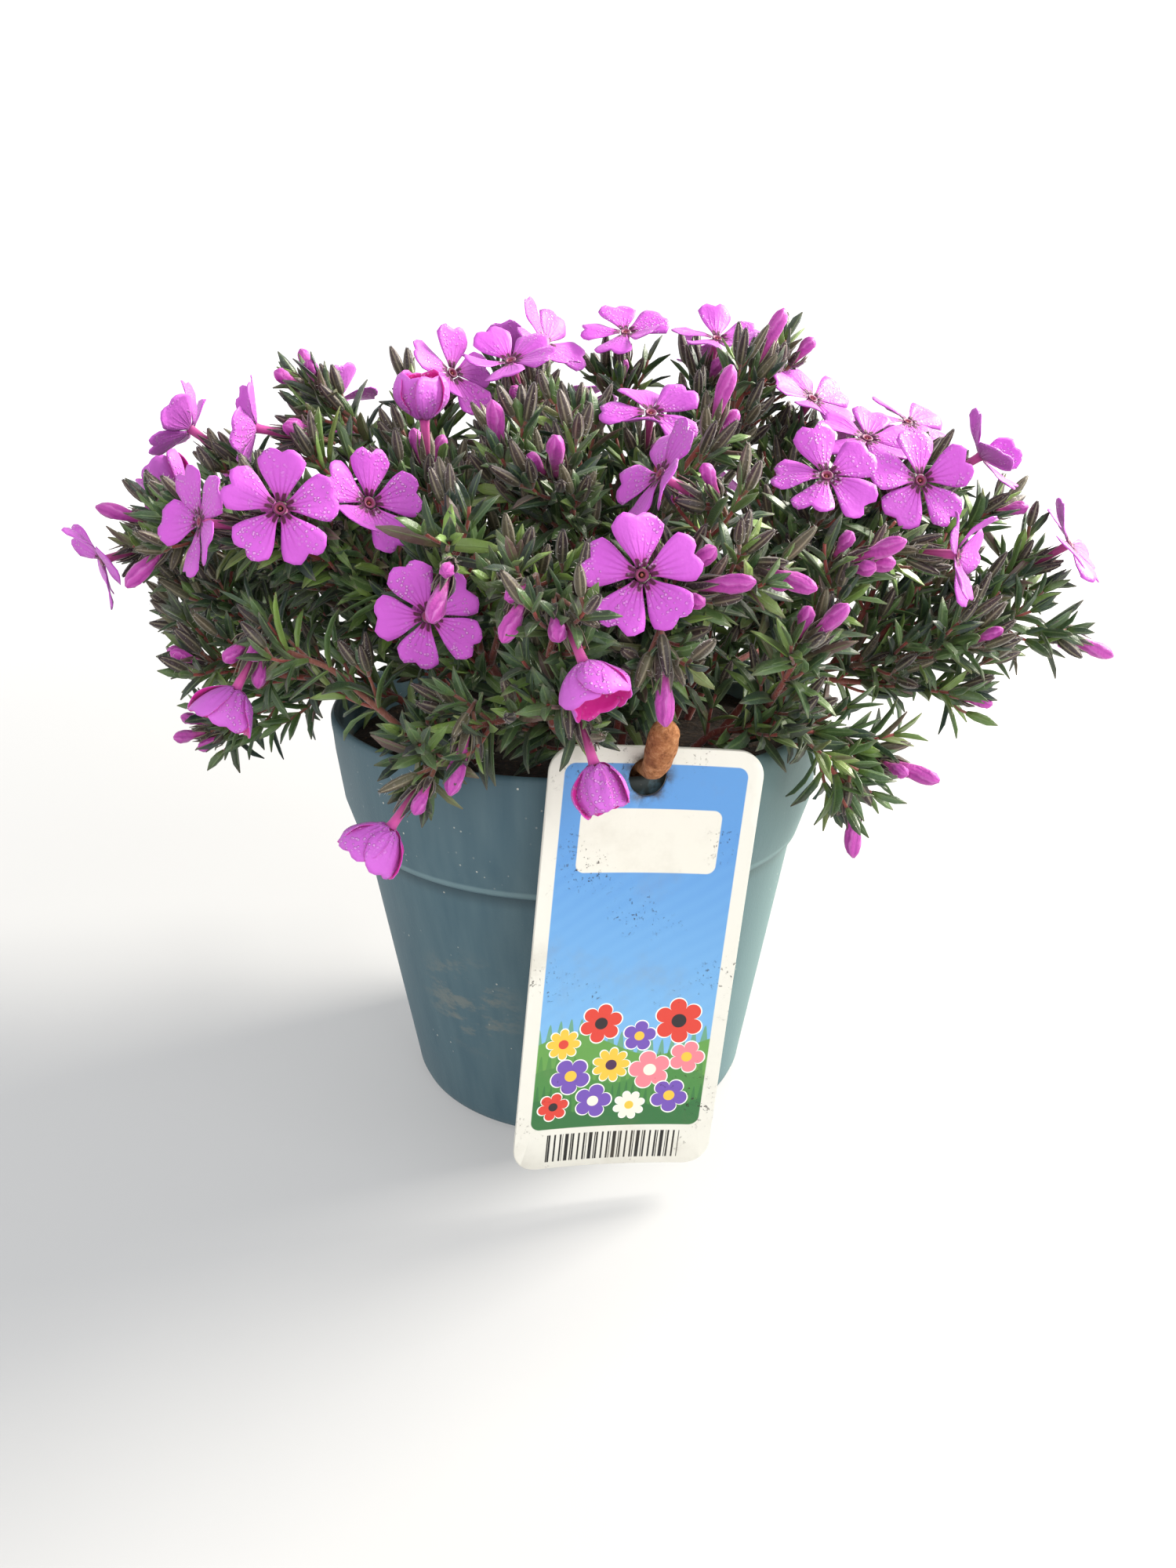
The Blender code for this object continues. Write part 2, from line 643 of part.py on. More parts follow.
def branch_end(branch, blooms):
    """The finish of a branch: a calyx, a bud or a leafy point."""
    tip = branch["tip"]
    if tip["kind"] == "bloom":
        return lambda points, faces, last: calyx_end(points, faces, last, blooms[tip["bloom"]])
    bud = ((4.0, 1.5), (9.5, 1.95), (BUD_LENGTH, 0.0))
    marks = bud if tip["kind"] == "bud" else ((LEAF_LENGTH * 0.6, 0.0),)
    return lambda points, faces, last: tip_end(points, faces, last, marks, tip["end"], tip["aim"])


def stem_end(path):
    """The finish of a main stem: a short point above its last branch."""
    end, aim = at_length(path, 1e9)
    return lambda points, faces, last: tip_end(points, faces, last, ((3.0, 0.0),), end, aim)


def bloom_shape(bloom):
    """Five notched petals round a throat, each a blade that thins to its outline, with the tube behind
    them. Two five-point rings at the throat join the petals, one on their faces and one on their backs."""
    width, half = half_width(bloom["open"]), PETAL_THICKNESS / 2
    reach, advance = petal_line(bloom["open"], (0.62, 0.97, 0.82, 0.50))
    slope = math.radians(-10 + 101 * bloom["open"])
    normal = np.array((-math.cos(slope), math.sin(slope))) * half
    upper, lower = np.array((reach[3], advance[3])) + normal, np.array((reach[3], advance[3])) - normal
    outline = ((0, -1.0), (1, -0.56), (2, 0.0), (1, 0.56), (0, 1.0))
    points, faces = [], []
    for level in (half, -half):
        for k in range(PETALS):
            points.append(bloom_point(bloom, THROAT_RADIUS, petal_angle(bloom, k - 0.5), level))
    for k in range(PETALS):
        angle = petal_angle(bloom, k)
        first = len(points)
        for i, side in outline:
            points.append(bloom_point(bloom, reach[i], angle, advance[i], side * width))
        points.append(bloom_point(bloom, upper[0], angle, upper[1]))
        points.append(bloom_point(bloom, lower[0], angle, lower[1]))
        after = (k + 1) % PETALS
        for centre, ring in ((first + 5, 0), (first + 6, PETALS)):
            loop = [ring + k, *range(first, first + 5), ring + after]
            faces += [(a, b, centre) for a, b in zip(loop, loop[1:] + loop[:1])]
        faces.append((k, first, PETALS + k))
        faces.append((after, PETALS + after, first + 4))
    throat = len(points)
    points.append(bloom_point(bloom, 0.0, 0.0, -0.2))
    faces += [(k, (k + 1) % PETALS, throat) for k in range(PETALS)]
    ring = len(points)
    for k in range(PETALS):
        points.append(bloom_point(bloom, TUBE_RADIUS, petal_angle(bloom, k - 0.5), -TUBE_LENGTH))
    for k in range(PETALS):
        after = (k + 1) % PETALS
        faces.append((PETALS + k, ring + k, ring + after, PETALS + after))
    faces.append(tuple(ring + k for k in range(PETALS))[::-1])
    return np.array(points), faces


def lathe(profile, sides):
    """Turns a profile of (radius, height) points round the axis. It starts and ends on the axis."""
    points, rings = [], []
    for radius, height in profile:
        if radius == 0:
            rings.append([len(points)] * sides)
            points.append((0.0, 0.0, height))
            continue
        rings.append(list(range(len(points), len(points) + sides)))
        for k in range(sides):
            angle = 2 * math.pi * k / sides
            points.append((radius * math.cos(angle), radius * math.sin(angle), height))
    faces = []
    for low, high in zip(rings, rings[1:]):
        for k in range(sides):
            after = (k + 1) % sides
            face = (low[k], low[after], high[after], high[k])
            faces.append(tuple(dict.fromkeys(face)))
    return np.array(points), faces


# Objects.


def material(name, colour, roughness):
    """A plain material of one colour."""
    made = bpy.data.materials.new(name)
    made.use_nodes = True
    shader = made.node_tree.nodes["Principled BSDF"]
    shader.inputs["Base Color"].default_value = (*colour, 1.0)
    shader.inputs["Roughness"].default_value = roughness
    return made


def add_object(name, shape, finish, collection=None):
    """A mesh object from a shape in millimetres, with its faces pointing out and only its sharp edges
    creased."""
    points, faces = shape
    mesh = bpy.data.meshes.new(name)
    mesh.from_pydata((np.asarray(points) * MM).tolist(), [], [list(face) for face in faces])
    work = bmesh.new()
    work.from_mesh(mesh)
    bmesh.ops.recalc_face_normals(work, faces=work.faces)
    work.to_mesh(mesh)
    work.free()
    mesh.shade_smooth()
    mesh.set_sharp_from_angle(angle=math.radians(35))
    mesh.materials.append(finish)
    made = bpy.data.objects.new(name, mesh)
    (collection or bpy.context.scene.collection).objects.link(made)
    return made


def boolean(target, operation, shapes):
    """Joins or cuts a target with several shapes by one Boolean on a collection, and removes them."""
    helpers = bpy.data.collections.new(target.name + "_helpers")
    bpy.context.scene.collection.children.link(helpers)
    for i, shape in enumerate(shapes):
        add_object(f"{target.name}_helper_{i}", shape, target.data.materials[0], helpers)
    modifier = target.modifiers.new("join", "BOOLEAN")
    modifier.operation = operation
    modifier.operand_type = "COLLECTION"
    modifier.collection = helpers
    modifier.solver = "MANIFOLD"
    bpy.context.view_layer.update()
    graph = bpy.context.evaluated_depsgraph_get()
    result = bpy.data.meshes.new_from_object(target.evaluated_get(graph))
    target.modifiers.clear()
    target.data = result
    for helper in list(helpers.objects):
        bpy.data.objects.remove(helper)
    bpy.data.collections.remove(helpers)


def pot_profile():
    """From the foot's centre out and up the outside, over the rolled rim, and down the inside to the
    floor."""
    outside = [(0.0, 0.0), (BODY_FOOT_RADIUS - FOOT_ROUND, 0.0)]
    outside += [(BODY_FOOT_RADIUS - 1.0, 1.3), (BODY_FOOT_RADIUS, FOOT_ROUND)]
    outside += [(BODY_TOP_RADIUS, COLLAR_BOTTOM), (COLLAR_FOOT_RADIUS, COLLAR_BOTTOM + 0.6)]
    outside += [(62.9, 85.0), (64.5, 98.0), (RIM_RADIUS, 105.0), (RIM_RADIUS - 0.5, POT_HEIGHT)]
    inside = [(RIM_RADIUS - 1.6, POT_HEIGHT), (64.5 - WALL, 98.0), (62.9 - WALL, 85.0)]
    inside += [(BODY_TOP_RADIUS - WALL, COLLAR_BOTTOM - 1.0), (BODY_FOOT_RADIUS - WALL, 6.0)]
    inside += [(BODY_FOOT_RADIUS - WALL - 3.0, FLOOR_THICKNESS), (0.0, FLOOR_THICKNESS)]
    return outside + inside


def prism(front, back):
    """A closed shape between two outlines with as many points each."""
    count = len(front)
    faces = [(k, (k + 1) % count, count + (k + 1) % count, count + k) for k in range(count)]
    faces += [tuple(range(count))[::-1], tuple(range(count, 2 * count))]
    return np.array([*front, *back]), faces


def box_at(centre, out, size):
    """A box of (radial, sideways, upright) size, turned so that its first side points along out."""
    side = np.array((-out[1], out[0], 0.0)) * size[1] / 2
    up = np.array((0.0, 0.0, size[2] / 2))
    outline = (-side - up, side - up, side + up, -side + up)
    back, front = centre - out * size[0] / 2, centre + out * size[0] / 2
    return prism([back + p for p in outline], [front + p for p in outline])


def make_pot():
    """The pot, with drainage notches under its foot that meet a drain hole each."""
    plastic = material("teal_plastic", (0.13, 0.23, 0.25), 0.5)
    pot = add_object("pot", lathe(pot_profile(), POT_SIDES), plastic)
    cutters = []
    for k in range(NOTCHES):
        out = heading(360 * (k + 0.5) / NOTCHES + 15, 0)
        drain = tube([out * DRAIN_REACH - (0, 0, 2), out * DRAIN_REACH + (0, 0, 7)], [DRAIN_RADIUS] * 2, 8)
        cutters += [box_at(out * NOTCH_REACH, out, NOTCH_SIZE), drain]
    boolean(pot, "DIFFERENCE", cutters)
    return pot


def make_soil(sprays):
    """The potting soil up to its lumpy top, with a plain hole for each stem and for the peg's leg."""
    rng = random.Random(SEED + 1)
    earth = material("potting_soil", (0.018, 0.014, 0.011), 0.95)
    gap = FIT_GAP
    profile = [(0.0, FLOOR_THICKNESS + gap), (BODY_FOOT_RADIUS - WALL - 3.6, FLOOR_THICKNESS + gap)]
    profile += [(BODY_FOOT_RADIUS - WALL - gap, 6.5), (BODY_TOP_RADIUS - WALL - gap, COLLAR_BOTTOM - 1.5)]
    profile += [(62.4 - WALL - gap, 83.5), (64.0 - WALL - gap, SOIL_LEVEL - 1.0)]
    profile += [(50.0, SOIL_LEVEL), (34.0, SOIL_LEVEL), (18.0, SOIL_LEVEL), (0.0, SOIL_LEVEL)]
    points, faces = lathe(profile, SOIL_SIDES)
    for i in np.nonzero(points[:, 2] > SOIL_LEVEL - 0.5)[0]:
        points[i, 2] += rng.uniform(-SOIL_LUMP, SOIL_LUMP * 0.4)
    soil = add_object("soil", (points, faces), earth)
    cutters = []
    for spray in sprays:
        foot, mouth = spray["hole"] - spray["start"] * (ROOT_DEPTH + gap), spray["hole"] + spray["start"] * 6
        cutters.append(tube([foot, mouth], [STEM_RADII[0] + 1.5 * gap] * 2, 6))
    out = heading(PEG_BEARING, 0)
    reach, depth, radius = PEG_PATH[0]
    foot = out * reach + (0, 0, depth - gap)
    mouth = out * PEG_PATH[1][0] + (0, 0, PEG_PATH[1][1] + 2.0)
    cutters.append(tube([foot, mouth], [radius + 1.5 * gap] * 2, PEG_SIDES))
    boolean(soil, "DIFFERENCE", cutters)
    return soil


def label_axes():
    """The middle of the label's top edge, and its rightward, downward and forward directions."""
    yaw, roll = math.radians(LABEL_YAW), math.radians(LABEL_ROLL)
    level = np.array((math.cos(yaw), math.sin(yaw), 0.0))
    front = np.array((math.sin(yaw), -math.cos(yaw), 0.0))
    down = np.array((0.0, 0.0, -1.0))
    right = level * math.cos(roll) + down * math.sin(roll)
    lean = math.radians(LABEL_LEAN)
    below = (down * math.cos(roll) - level * math.sin(roll)) * math.cos(lean) + front * math.sin(lean)
    front = np.cross(below, right)
    top = heading(LABEL_BEARING, 0) * LABEL_REACH + np.array((0.0, 0.0, LABEL_TOP))
    return top, right, below, front


def corner_drop(across):
    """How far the card's rounded corners drop from its top edge, at a distance from its middle line."""
    into = max(abs(across) - (LABEL_WIDTH / 2 - LABEL_CORNER), 0.0)
    return LABEL_CORNER - math.sqrt(LABEL_CORNER**2 - into**2)


def label_point(across, down, forward):
    """A point of the card. Its sides curl forward with the square of the distance from the middle line."""
    top, right, below, front = label_axes()
    curl = LABEL_CURL * (across / (LABEL_WIDTH / 2)) ** 2
    return top + right * across + below * down + front * (forward + curl)


def make_label():
    """The card: upright strips that follow its curl and rounded corners, with the slot that hangs on the
    peg."""
    card = material("label_card", (0.62, 0.66, 0.68), 0.45)
    columns = [-x for x in LABEL_COLUMNS[:0:-1]] + list(LABEL_COLUMNS)
    drops = [corner_drop(x) for x in columns]
    outline = list(zip(columns, drops)) + [(x, LABEL_LENGTH - drop) for x, drop in zip(columns, drops)][::-1]
    points = [label_point(x, y, side * LABEL_THICKNESS / 2) for side in (1, -1) for x, y in outline]
    count, last = len(outline), len(columns) - 1
    faces = [(k, (k + 1) % count, count + (k + 1) % count, count + k) for k in range(count)]
    for k in range(last):
        strip = (k, k + 1, count - 2 - k, count - 1 - k)
        faces += [strip, tuple(count + corner for corner in strip[::-1])]
    label = add_object("label", (np.array(points), faces), card)
    across, down = slot_shift(), SLOT_TOP_EDGE + SLOT_HEIGHT / 2
    turns = [2 * math.pi * k / SLOT_SIDES for k in range(SLOT_SIDES)]
    oval = [(across + SLOT_WIDTH / 2 * math.cos(a), down + SLOT_HEIGHT / 2 * math.sin(a)) for a in turns]
    slot = prism([label_point(x, y, -6.0) for x, y in oval], [label_point(x, y, 6.0) for x, y in oval])
    boolean(label, "DIFFERENCE", [slot])
    return label


def slot_shift():
    """How far the slot's middle lies right of the card's middle, so that the peg passes through it."""
    top, right, _, _ = label_axes()
    reach, height, _ = PEG_PATH[PEG_AT_LABEL]
    return float((heading(PEG_BEARING, 0) * reach + (0, 0, height) - top) @ right)


def make_peg():
    """The brown peg, a bent round bar with a blunt head."""
    wood = material("peg_brown", (0.30, 0.14, 0.06), 0.8)
    out = heading(PEG_BEARING, 0)
    path = [out * reach + (0, 0, height) for reach, height, _ in PEG_PATH]
    return add_object("label_peg", tube(path, [radius for _, _, radius in PEG_PATH], PEG_SIDES), wood)


def tree_of(shape):
    """A search tree of a shape's faces."""
    points, faces = shape
    return BVHTree.FromPolygons([Vector(p) for p in points], [list(f) for f in faces])


def swollen(shape, margin):
    """The shape with each point pushed outwards by the margin, along the mean of its faces' normals."""
    points, faces = shape
    centre = points.mean(axis=0)
    push = np.zeros_like(points)
    for face in faces:
        corners = points[list(face)]
        normal = np.cross(corners[1] - corners[0], corners[2] - corners[0])
        size = np.linalg.norm(normal)
        if size > 1e-9:
            outward = 1.0 if normal @ (corners.mean(axis=0) - centre) > 0 else -1.0
            push[list(face)] += outward * normal / size
    size = np.maximum(np.linalg.norm(push, axis=1), 1e-6)[:, None]
    return points + margin * push / size, faces


class Room:
    """What already stands where, so that a new piece can be tested against the other pieces."""

    def __init__(self):
        self.owners = []
        self.trees = []
        self.low = np.empty((0, 3))
        self.high = np.empty((0, 3))

    def add(self, owner, branch, shape):
        self.owners.append((owner, branch))
        self.trees.append(tree_of(shape))
        self.low = np.vstack((self.low, shape[0].min(axis=0)))
        self.high = np.vstack((self.high, shape[0].max(axis=0)))

    def met(self, owner, branch, shape, own_shape, margin):
        """True where a shape comes within the margin of another piece. Pieces of its own node may be as
        near as a third of the margin. Pieces of its own branch are tested against own_shape only."""
        low, high = shape[0].min(axis=0) - margin, shape[0].max(axis=0) + margin
        near = np.nonzero(np.all(self.low < high, axis=1) & np.all(self.high > low, axis=1))[0]
        tested = {}
        for i in near:
            other, other_branch = self.owners[i]
            kind = "far" if other != owner else ("near" if other_branch != branch else "own")
            if kind == "own" and own_shape is None:
                continue
            if kind not in tested:
                reach = margin if kind == "far" else margin / 3
                tested[kind] = tree_of(own_shape if kind == "own" else swollen(shape, reach))
            if tested[kind].overlap(self.trees[i]):
                return True
        return False


def grow_leaves(room, owner, branch_key, path, radii, pairs):
    """Gives each leaf of a stem its tip where it stands clear, after a few tries with more lean or less
    length."""
    tries = ((0.0, 1.0), (0.3, 1.0), (-0.3, 1.0), (0.0, 0.75), (0.55, 0.85), (-0.55, 0.85), (0.0, 0.55))
    rings, starts = stem_rings(path, radii, pairs)
    for i, pair in enumerate(starts):
        if pair is None:
            continue
        for leaf, corner in zip(pair["leaves"], (pair["turned"], pair["turned"] + 2)):
            for lean, scale in tries:
                foot, tip = leaf_shape(rings[i], rings[i + 1], corner, leaf, lean, scale)
                whole, outer = leaf_solid(foot, tip), leaf_solid(foot, tip, 0.3)
                if not room.met(owner, branch_key, whole, outer, LEAF_CLEARANCE):
                    leaf["tip"] = tip
                    room.add(owner, branch_key, whole)
                    break


def make_plant(blooms, sprays, fixed):
    """Blooms first, then stems with their ends, then each leaf that stands clear. Each spray is joined at
    last."""
    green = material("phlox_foliage", (0.07, 0.12, 0.05), 0.55)
    pink = material("phlox_petal", (0.62, 0.12, 0.62), 0.5)
    room = Room()
    for name, shape in fixed:
        room.add(name, None, shape)
    for bloom in blooms:
        shape = bloom_shape(bloom)
        room.add(bloom["name"], None, shape)
        add_object("bloom_" + bloom["name"], shape, pink)
    for number, spray in enumerate(sprays):
        stems = [("stem", spray["stem"], STEM_RADII, stem_end(spray["stem"]))]
        for i, branch in enumerate(spray["branches"]):
            stems.append((i, branch["path"], BRANCH_RADII, branch_end(branch, blooms)))
        for key, path, radii, finish in stems:
            room.add(number, key, leafy_stem(path, radii, [], finish))
    for number, spray in enumerate(sprays):
        for i, branch in enumerate(spray["branches"]):
            grow_leaves(room, number, i, branch["path"], BRANCH_RADII, branch["pairs"])
        grow_leaves(room, number, "stem", spray["stem"], STEM_RADII, spray["pairs"])
    for number, spray in enumerate(sprays):
        shape = leafy_stem(spray["stem"], STEM_RADII, spray["pairs"], stem_end(spray["stem"]))
        whole = add_object(f"leafy_spray_{number + 1:02d}", shape, green)
        branches = []
        for branch in spray["branches"]:
            finish = branch_end(branch, blooms)
            branches.append(leafy_stem(branch["path"], BRANCH_RADII, branch["pairs"], finish))
        boolean(whole, "UNION", branches)


def main():
    for obj in list(bpy.data.objects):
        bpy.data.objects.remove(obj)
    blooms, sprays = plan_plant()
    fixed = [make_pot(), make_soil(sprays), make_label(), make_peg()]
    shapes = []
    for obj in fixed:
        points = np.array([vertex.co for vertex in obj.data.vertices]) / MM
        faces = [tuple(face.vertices) for face in obj.data.polygons]
        shapes.append((obj.name, (points, faces)))
    make_plant(blooms, sprays, shapes)


main()
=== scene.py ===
"""Looks of a moss phlox in a collared nursery pot: leaves, petals, buds, soil, moulded pot and card label.

Sizes are in millimetres until a mesh is made. A bearing is measured round the pot in degrees: 0 faces the
viewer and 90 is +X. A rise is measured in degrees above the horizontal.
"""

import math
import random

import bpy
import numpy as np
from bpy.props import FloatProperty, FloatVectorProperty, IntProperty, PointerProperty
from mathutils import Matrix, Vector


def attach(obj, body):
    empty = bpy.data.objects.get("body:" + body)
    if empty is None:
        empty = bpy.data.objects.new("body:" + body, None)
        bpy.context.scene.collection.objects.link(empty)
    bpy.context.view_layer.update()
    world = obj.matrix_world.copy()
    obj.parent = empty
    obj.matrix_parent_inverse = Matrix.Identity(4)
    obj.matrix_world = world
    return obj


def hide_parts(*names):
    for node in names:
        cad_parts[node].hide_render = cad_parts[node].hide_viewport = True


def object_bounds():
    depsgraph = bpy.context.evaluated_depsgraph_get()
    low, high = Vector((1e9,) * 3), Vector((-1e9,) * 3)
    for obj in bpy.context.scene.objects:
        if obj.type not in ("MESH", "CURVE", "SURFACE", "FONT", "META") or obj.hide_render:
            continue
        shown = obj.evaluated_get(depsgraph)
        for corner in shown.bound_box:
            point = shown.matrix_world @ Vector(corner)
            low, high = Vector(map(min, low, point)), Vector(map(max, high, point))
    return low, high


bl_info = {
    "name": "Potted moss phlox",
    "version": (1, 0, 0),
    "blender": (4, 5, 0),
    "location": "3D View > Sidebar > Phlox",
    "description": "Dresses the solids of a potted moss phlox with leaves, petals, buds and finishes",
    "category": "Object",
}

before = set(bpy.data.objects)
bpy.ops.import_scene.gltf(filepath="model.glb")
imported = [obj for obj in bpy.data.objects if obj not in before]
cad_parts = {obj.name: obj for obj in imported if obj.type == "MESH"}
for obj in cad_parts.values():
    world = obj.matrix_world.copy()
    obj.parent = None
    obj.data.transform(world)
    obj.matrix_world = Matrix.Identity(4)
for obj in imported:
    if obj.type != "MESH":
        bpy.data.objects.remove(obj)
CAD_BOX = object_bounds()

MM = 0.001
FIT_GAP = 0.4

# The pot: a deep collar over a tapered body with a rounded foot.
POT_HEIGHT = 107.0
RIM_RADIUS = 65.0
COLLAR_BOTTOM = 75.0
COLLAR_FOOT_RADIUS = 60.2
BODY_TOP_RADIUS = 58.6
BODY_FOOT_RADIUS = 47.0
WALL = 1.6
FLOOR_THICKNESS = 2.6
NOTCHES = 6
NOTCH_SIZE = (14.0, 9.0, 4.0)
NOTCH_REACH = 44.0
DRAIN_RADIUS = 3.6
DRAIN_REACH = 38.5

# The soil.
SOIL_LEVEL = 96.0
SOIL_ROWS = 48
SOIL_SIDES = 120
# Bumps on it: how many, how wide and how high.
SOIL_BUMPS = ((40, 9.0, 1.2), (260, 2.6, 0.9), (900, 1.1, 0.7))
ROOT_DEPTH = 13.0

# The label: a stiff card that hangs on the peg, its sides curled slightly towards the viewer.
LABEL_WIDTH = 48.0
LABEL_LENGTH = 105.0
LABEL_THICKNESS = 1.3
LABEL_CORNER = 6.0
LABEL_BEVEL = 0.3
LABEL_RAYS = 120
LABEL_STEPS = 12
LABEL_CURL = 1.6
LABEL_BEARING = 15.5
LABEL_YAW = 12.0
LABEL_ROLL = 6.0
LABEL_LEAN = 1.2
LABEL_TOP = 114.6
LABEL_REACH = 67.2
SLOT_WIDTH = 8.4
SLOT_HEIGHT = 8.8
SLOT_TOP_EDGE = 2.4

# The peg: a hook with one leg in the soil, which crosses the rim and turns up in front of the label.
PEG_BEARING = LABEL_BEARING - 2.0
PEG_SHANK_RADIUS = 2.1
PEG_HEAD_RADIUS = 3.4
PEG_AT_LABEL = 5
PEG_ROWS = 64
PEG_SIDES = 28
# Reach from the pot's axis, height and radius at each point of the peg.
PEG_PATH = (
    (53.0, 84.0, PEG_SHANK_RADIUS),
    (53.6, 98.0, PEG_SHANK_RADIUS),
    (55.8, 105.2, PEG_SHANK_RADIUS),
    (59.8, 108.8, PEG_SHANK_RADIUS),
    (64.0, 109.6, PEG_SHANK_RADIUS),
    (68.6, 109.9, PEG_SHANK_RADIUS),
    (72.0, 111.6, 2.7),
    (74.8, 115.0, 3.2),
    (77.2, 119.0, PEG_HEAD_RADIUS),
    (78.8, 122.0, 2.9),
    (79.6, 123.6, 1.6),
)

# The plant: its crown in the soil, the squared-off mound over it, and the sprays that fill the mound.
SEED = 7
CROWN = np.array((0.0, 0.0, 76.0))
MOUND_REACH_X = 114.0
MOUND_REACH_FRONT = 80.0
MOUND_REACH_BACK = 98.0
MOUND_FOOT = 112.0
MOUND_TOP = 193.0
MOUND_SQUARENESS = 2.6
SPRAYS_LOW = 9
SPRAYS_MIDDLE = 7
SPRAYS_TOP = 4
LEAFY_TIPS = 56
TIP_SPACING = 18.0
CROWDING = 0.02
BUD_SHARE = 0.3
HOLE_NEAREST = 4
HOLE_SPREAD = 42
FORK_SHARE = 0.62
BRANCHES_FROM = 0.6
STEM_CLEARANCE = 3.0
RIM_CLEARANCE = 3.2
LABEL_BERTH = 26
PEG_BERTH = 8
ROUTE_TRIES = 60
ROUTE_POINTS = 17
BARE_STRETCH = 22.0
PROBE_STEP = 3.0
PETALS = 5
BLOOM_GAP = 2.2
BLOOM_BERTH = 7.0
PUSHES = 12
PUSH = 1.5
PETAL_LENGTH = 10.6
PETAL_ROWS = 11
PETAL_COLUMNS = 9
THROAT_RADIUS = 1.5
TUBE_LENGTH = 10.5
CALYX_SEAT = 1.2
BUD_LENGTH = 15.0
CUP_BELOW = 0.6
# How far leaves keep from the axis of an open bloom and of a cup, and behind and before a cup's throat.
OPEN_REACH = 11.0
CUP_REACH = 6.8
CUP_BEHIND = 1.5
CUP_BEFORE = 11.5
# Advance and radius up a bloom's tube, over its lip and down its throat, and up the anthers in it.
TUBE_MARKS = ((-TUBE_LENGTH, 0.9), (-7.0, 0.95), (-3.0, 1.0), (-1.0, 1.1), (-0.3, 1.25), (0.1, 1.4),
              (0.2, 1.1), (0.05, 0.8), (-0.5, 0.65), (-1.5, 0.5))
TUBE_SIDES = 14
ANTHER_MARKS = ((-1.2, 0.15), (-0.8, 0.3), (-0.35, 0.36), (-0.1, 0.22), (0.0, 0.05))
ANTHER_SIDES = 8

# The foliage: lengths of leaves, and the heights from which extra shoots and shoots with buds grow.
LEAF_LENGTH = 14.0
TIP_LEAF_LENGTH = 13.0
SHOOT_LEAF_LENGTH = 10.5
SMALL_LEAF_BELOW = 11.4
LEAF_WIDTH = 1.42
EXTRA_SHOOTS_FROM = 128
SHOOT_BUDS_FROM = 118
HAIR_RADIUS = 0.045
STEM_RINGS = 25
STEM_SIDES = 8
TWIG_RINGS = 5
TWIG_SIDES = 6
BLADE_POINTS = 6
SEPALS = 5
BUD_ROWS = 12
BUD_SIDES = 20
# A direction that no bud points in, from which the sides of the buds are measured.
OFF_AXIS = np.array((0.31, 0.2, 0.93))
# How far shoots and leaves keep before and behind an open bloom, and how far past the solids' box they go.
SHOOT_GAPS = (10.0, 1.5)
LEAF_GAPS = (5.0, 1.8)
BOX_MARGIN = 0.02

# Blades: shares of the length that have a row of points, shares of the width there, edge fold and thickness.
LONG_LEAF = (np.array((0.0, 0.22, 0.5, 0.8, 1.0)), np.array((0.48, 0.88, 1.0, 0.74, 0.10)), 0.36, 0.42)
SMALL_LEAF = (np.array((0.0, 0.3, 0.68, 1.0)), np.array((0.5, 0.97, 0.9, 0.1)), 0.36, 0.42)
SEPAL = (np.array((0.0, 0.3, 0.62, 1.0)), np.array((0.8, 1.0, 0.85, 0.06)), -0.45, 0.3)

# The printed parts of the card: left, right, top and bottom edges, and how far their corners are rounded.
PANEL = (-20.5, 20.5, 3.8, 94.0, 2.4)
BARE_BOX = (-16.0, 16.0, 14.0, 29.0, 2.0)
BAR_STRIP = (-16.3, 16.3, 95.6, 103.0, 0.2)

# The stage, in metres and degrees. The floor is flat out to a reach, and then rises.
FLOOR_REACH = 4.2
FLAT_REACH = 2.2
FLOOR_ROWS = 36
FLOOR_SIDES = 48
SUN_PLACE = (0.98, 0.40, 0.88)
FILL_PLACE = (0.9, -1.0, 0.8)
LAMPS_AIM = (0.0, 0.0, 0.12)
CAMERA_PLACE = (0.0027, -0.304, 0.194)
CAMERA_TILT = 69.8
SENSOR_WIDTH = 36.0

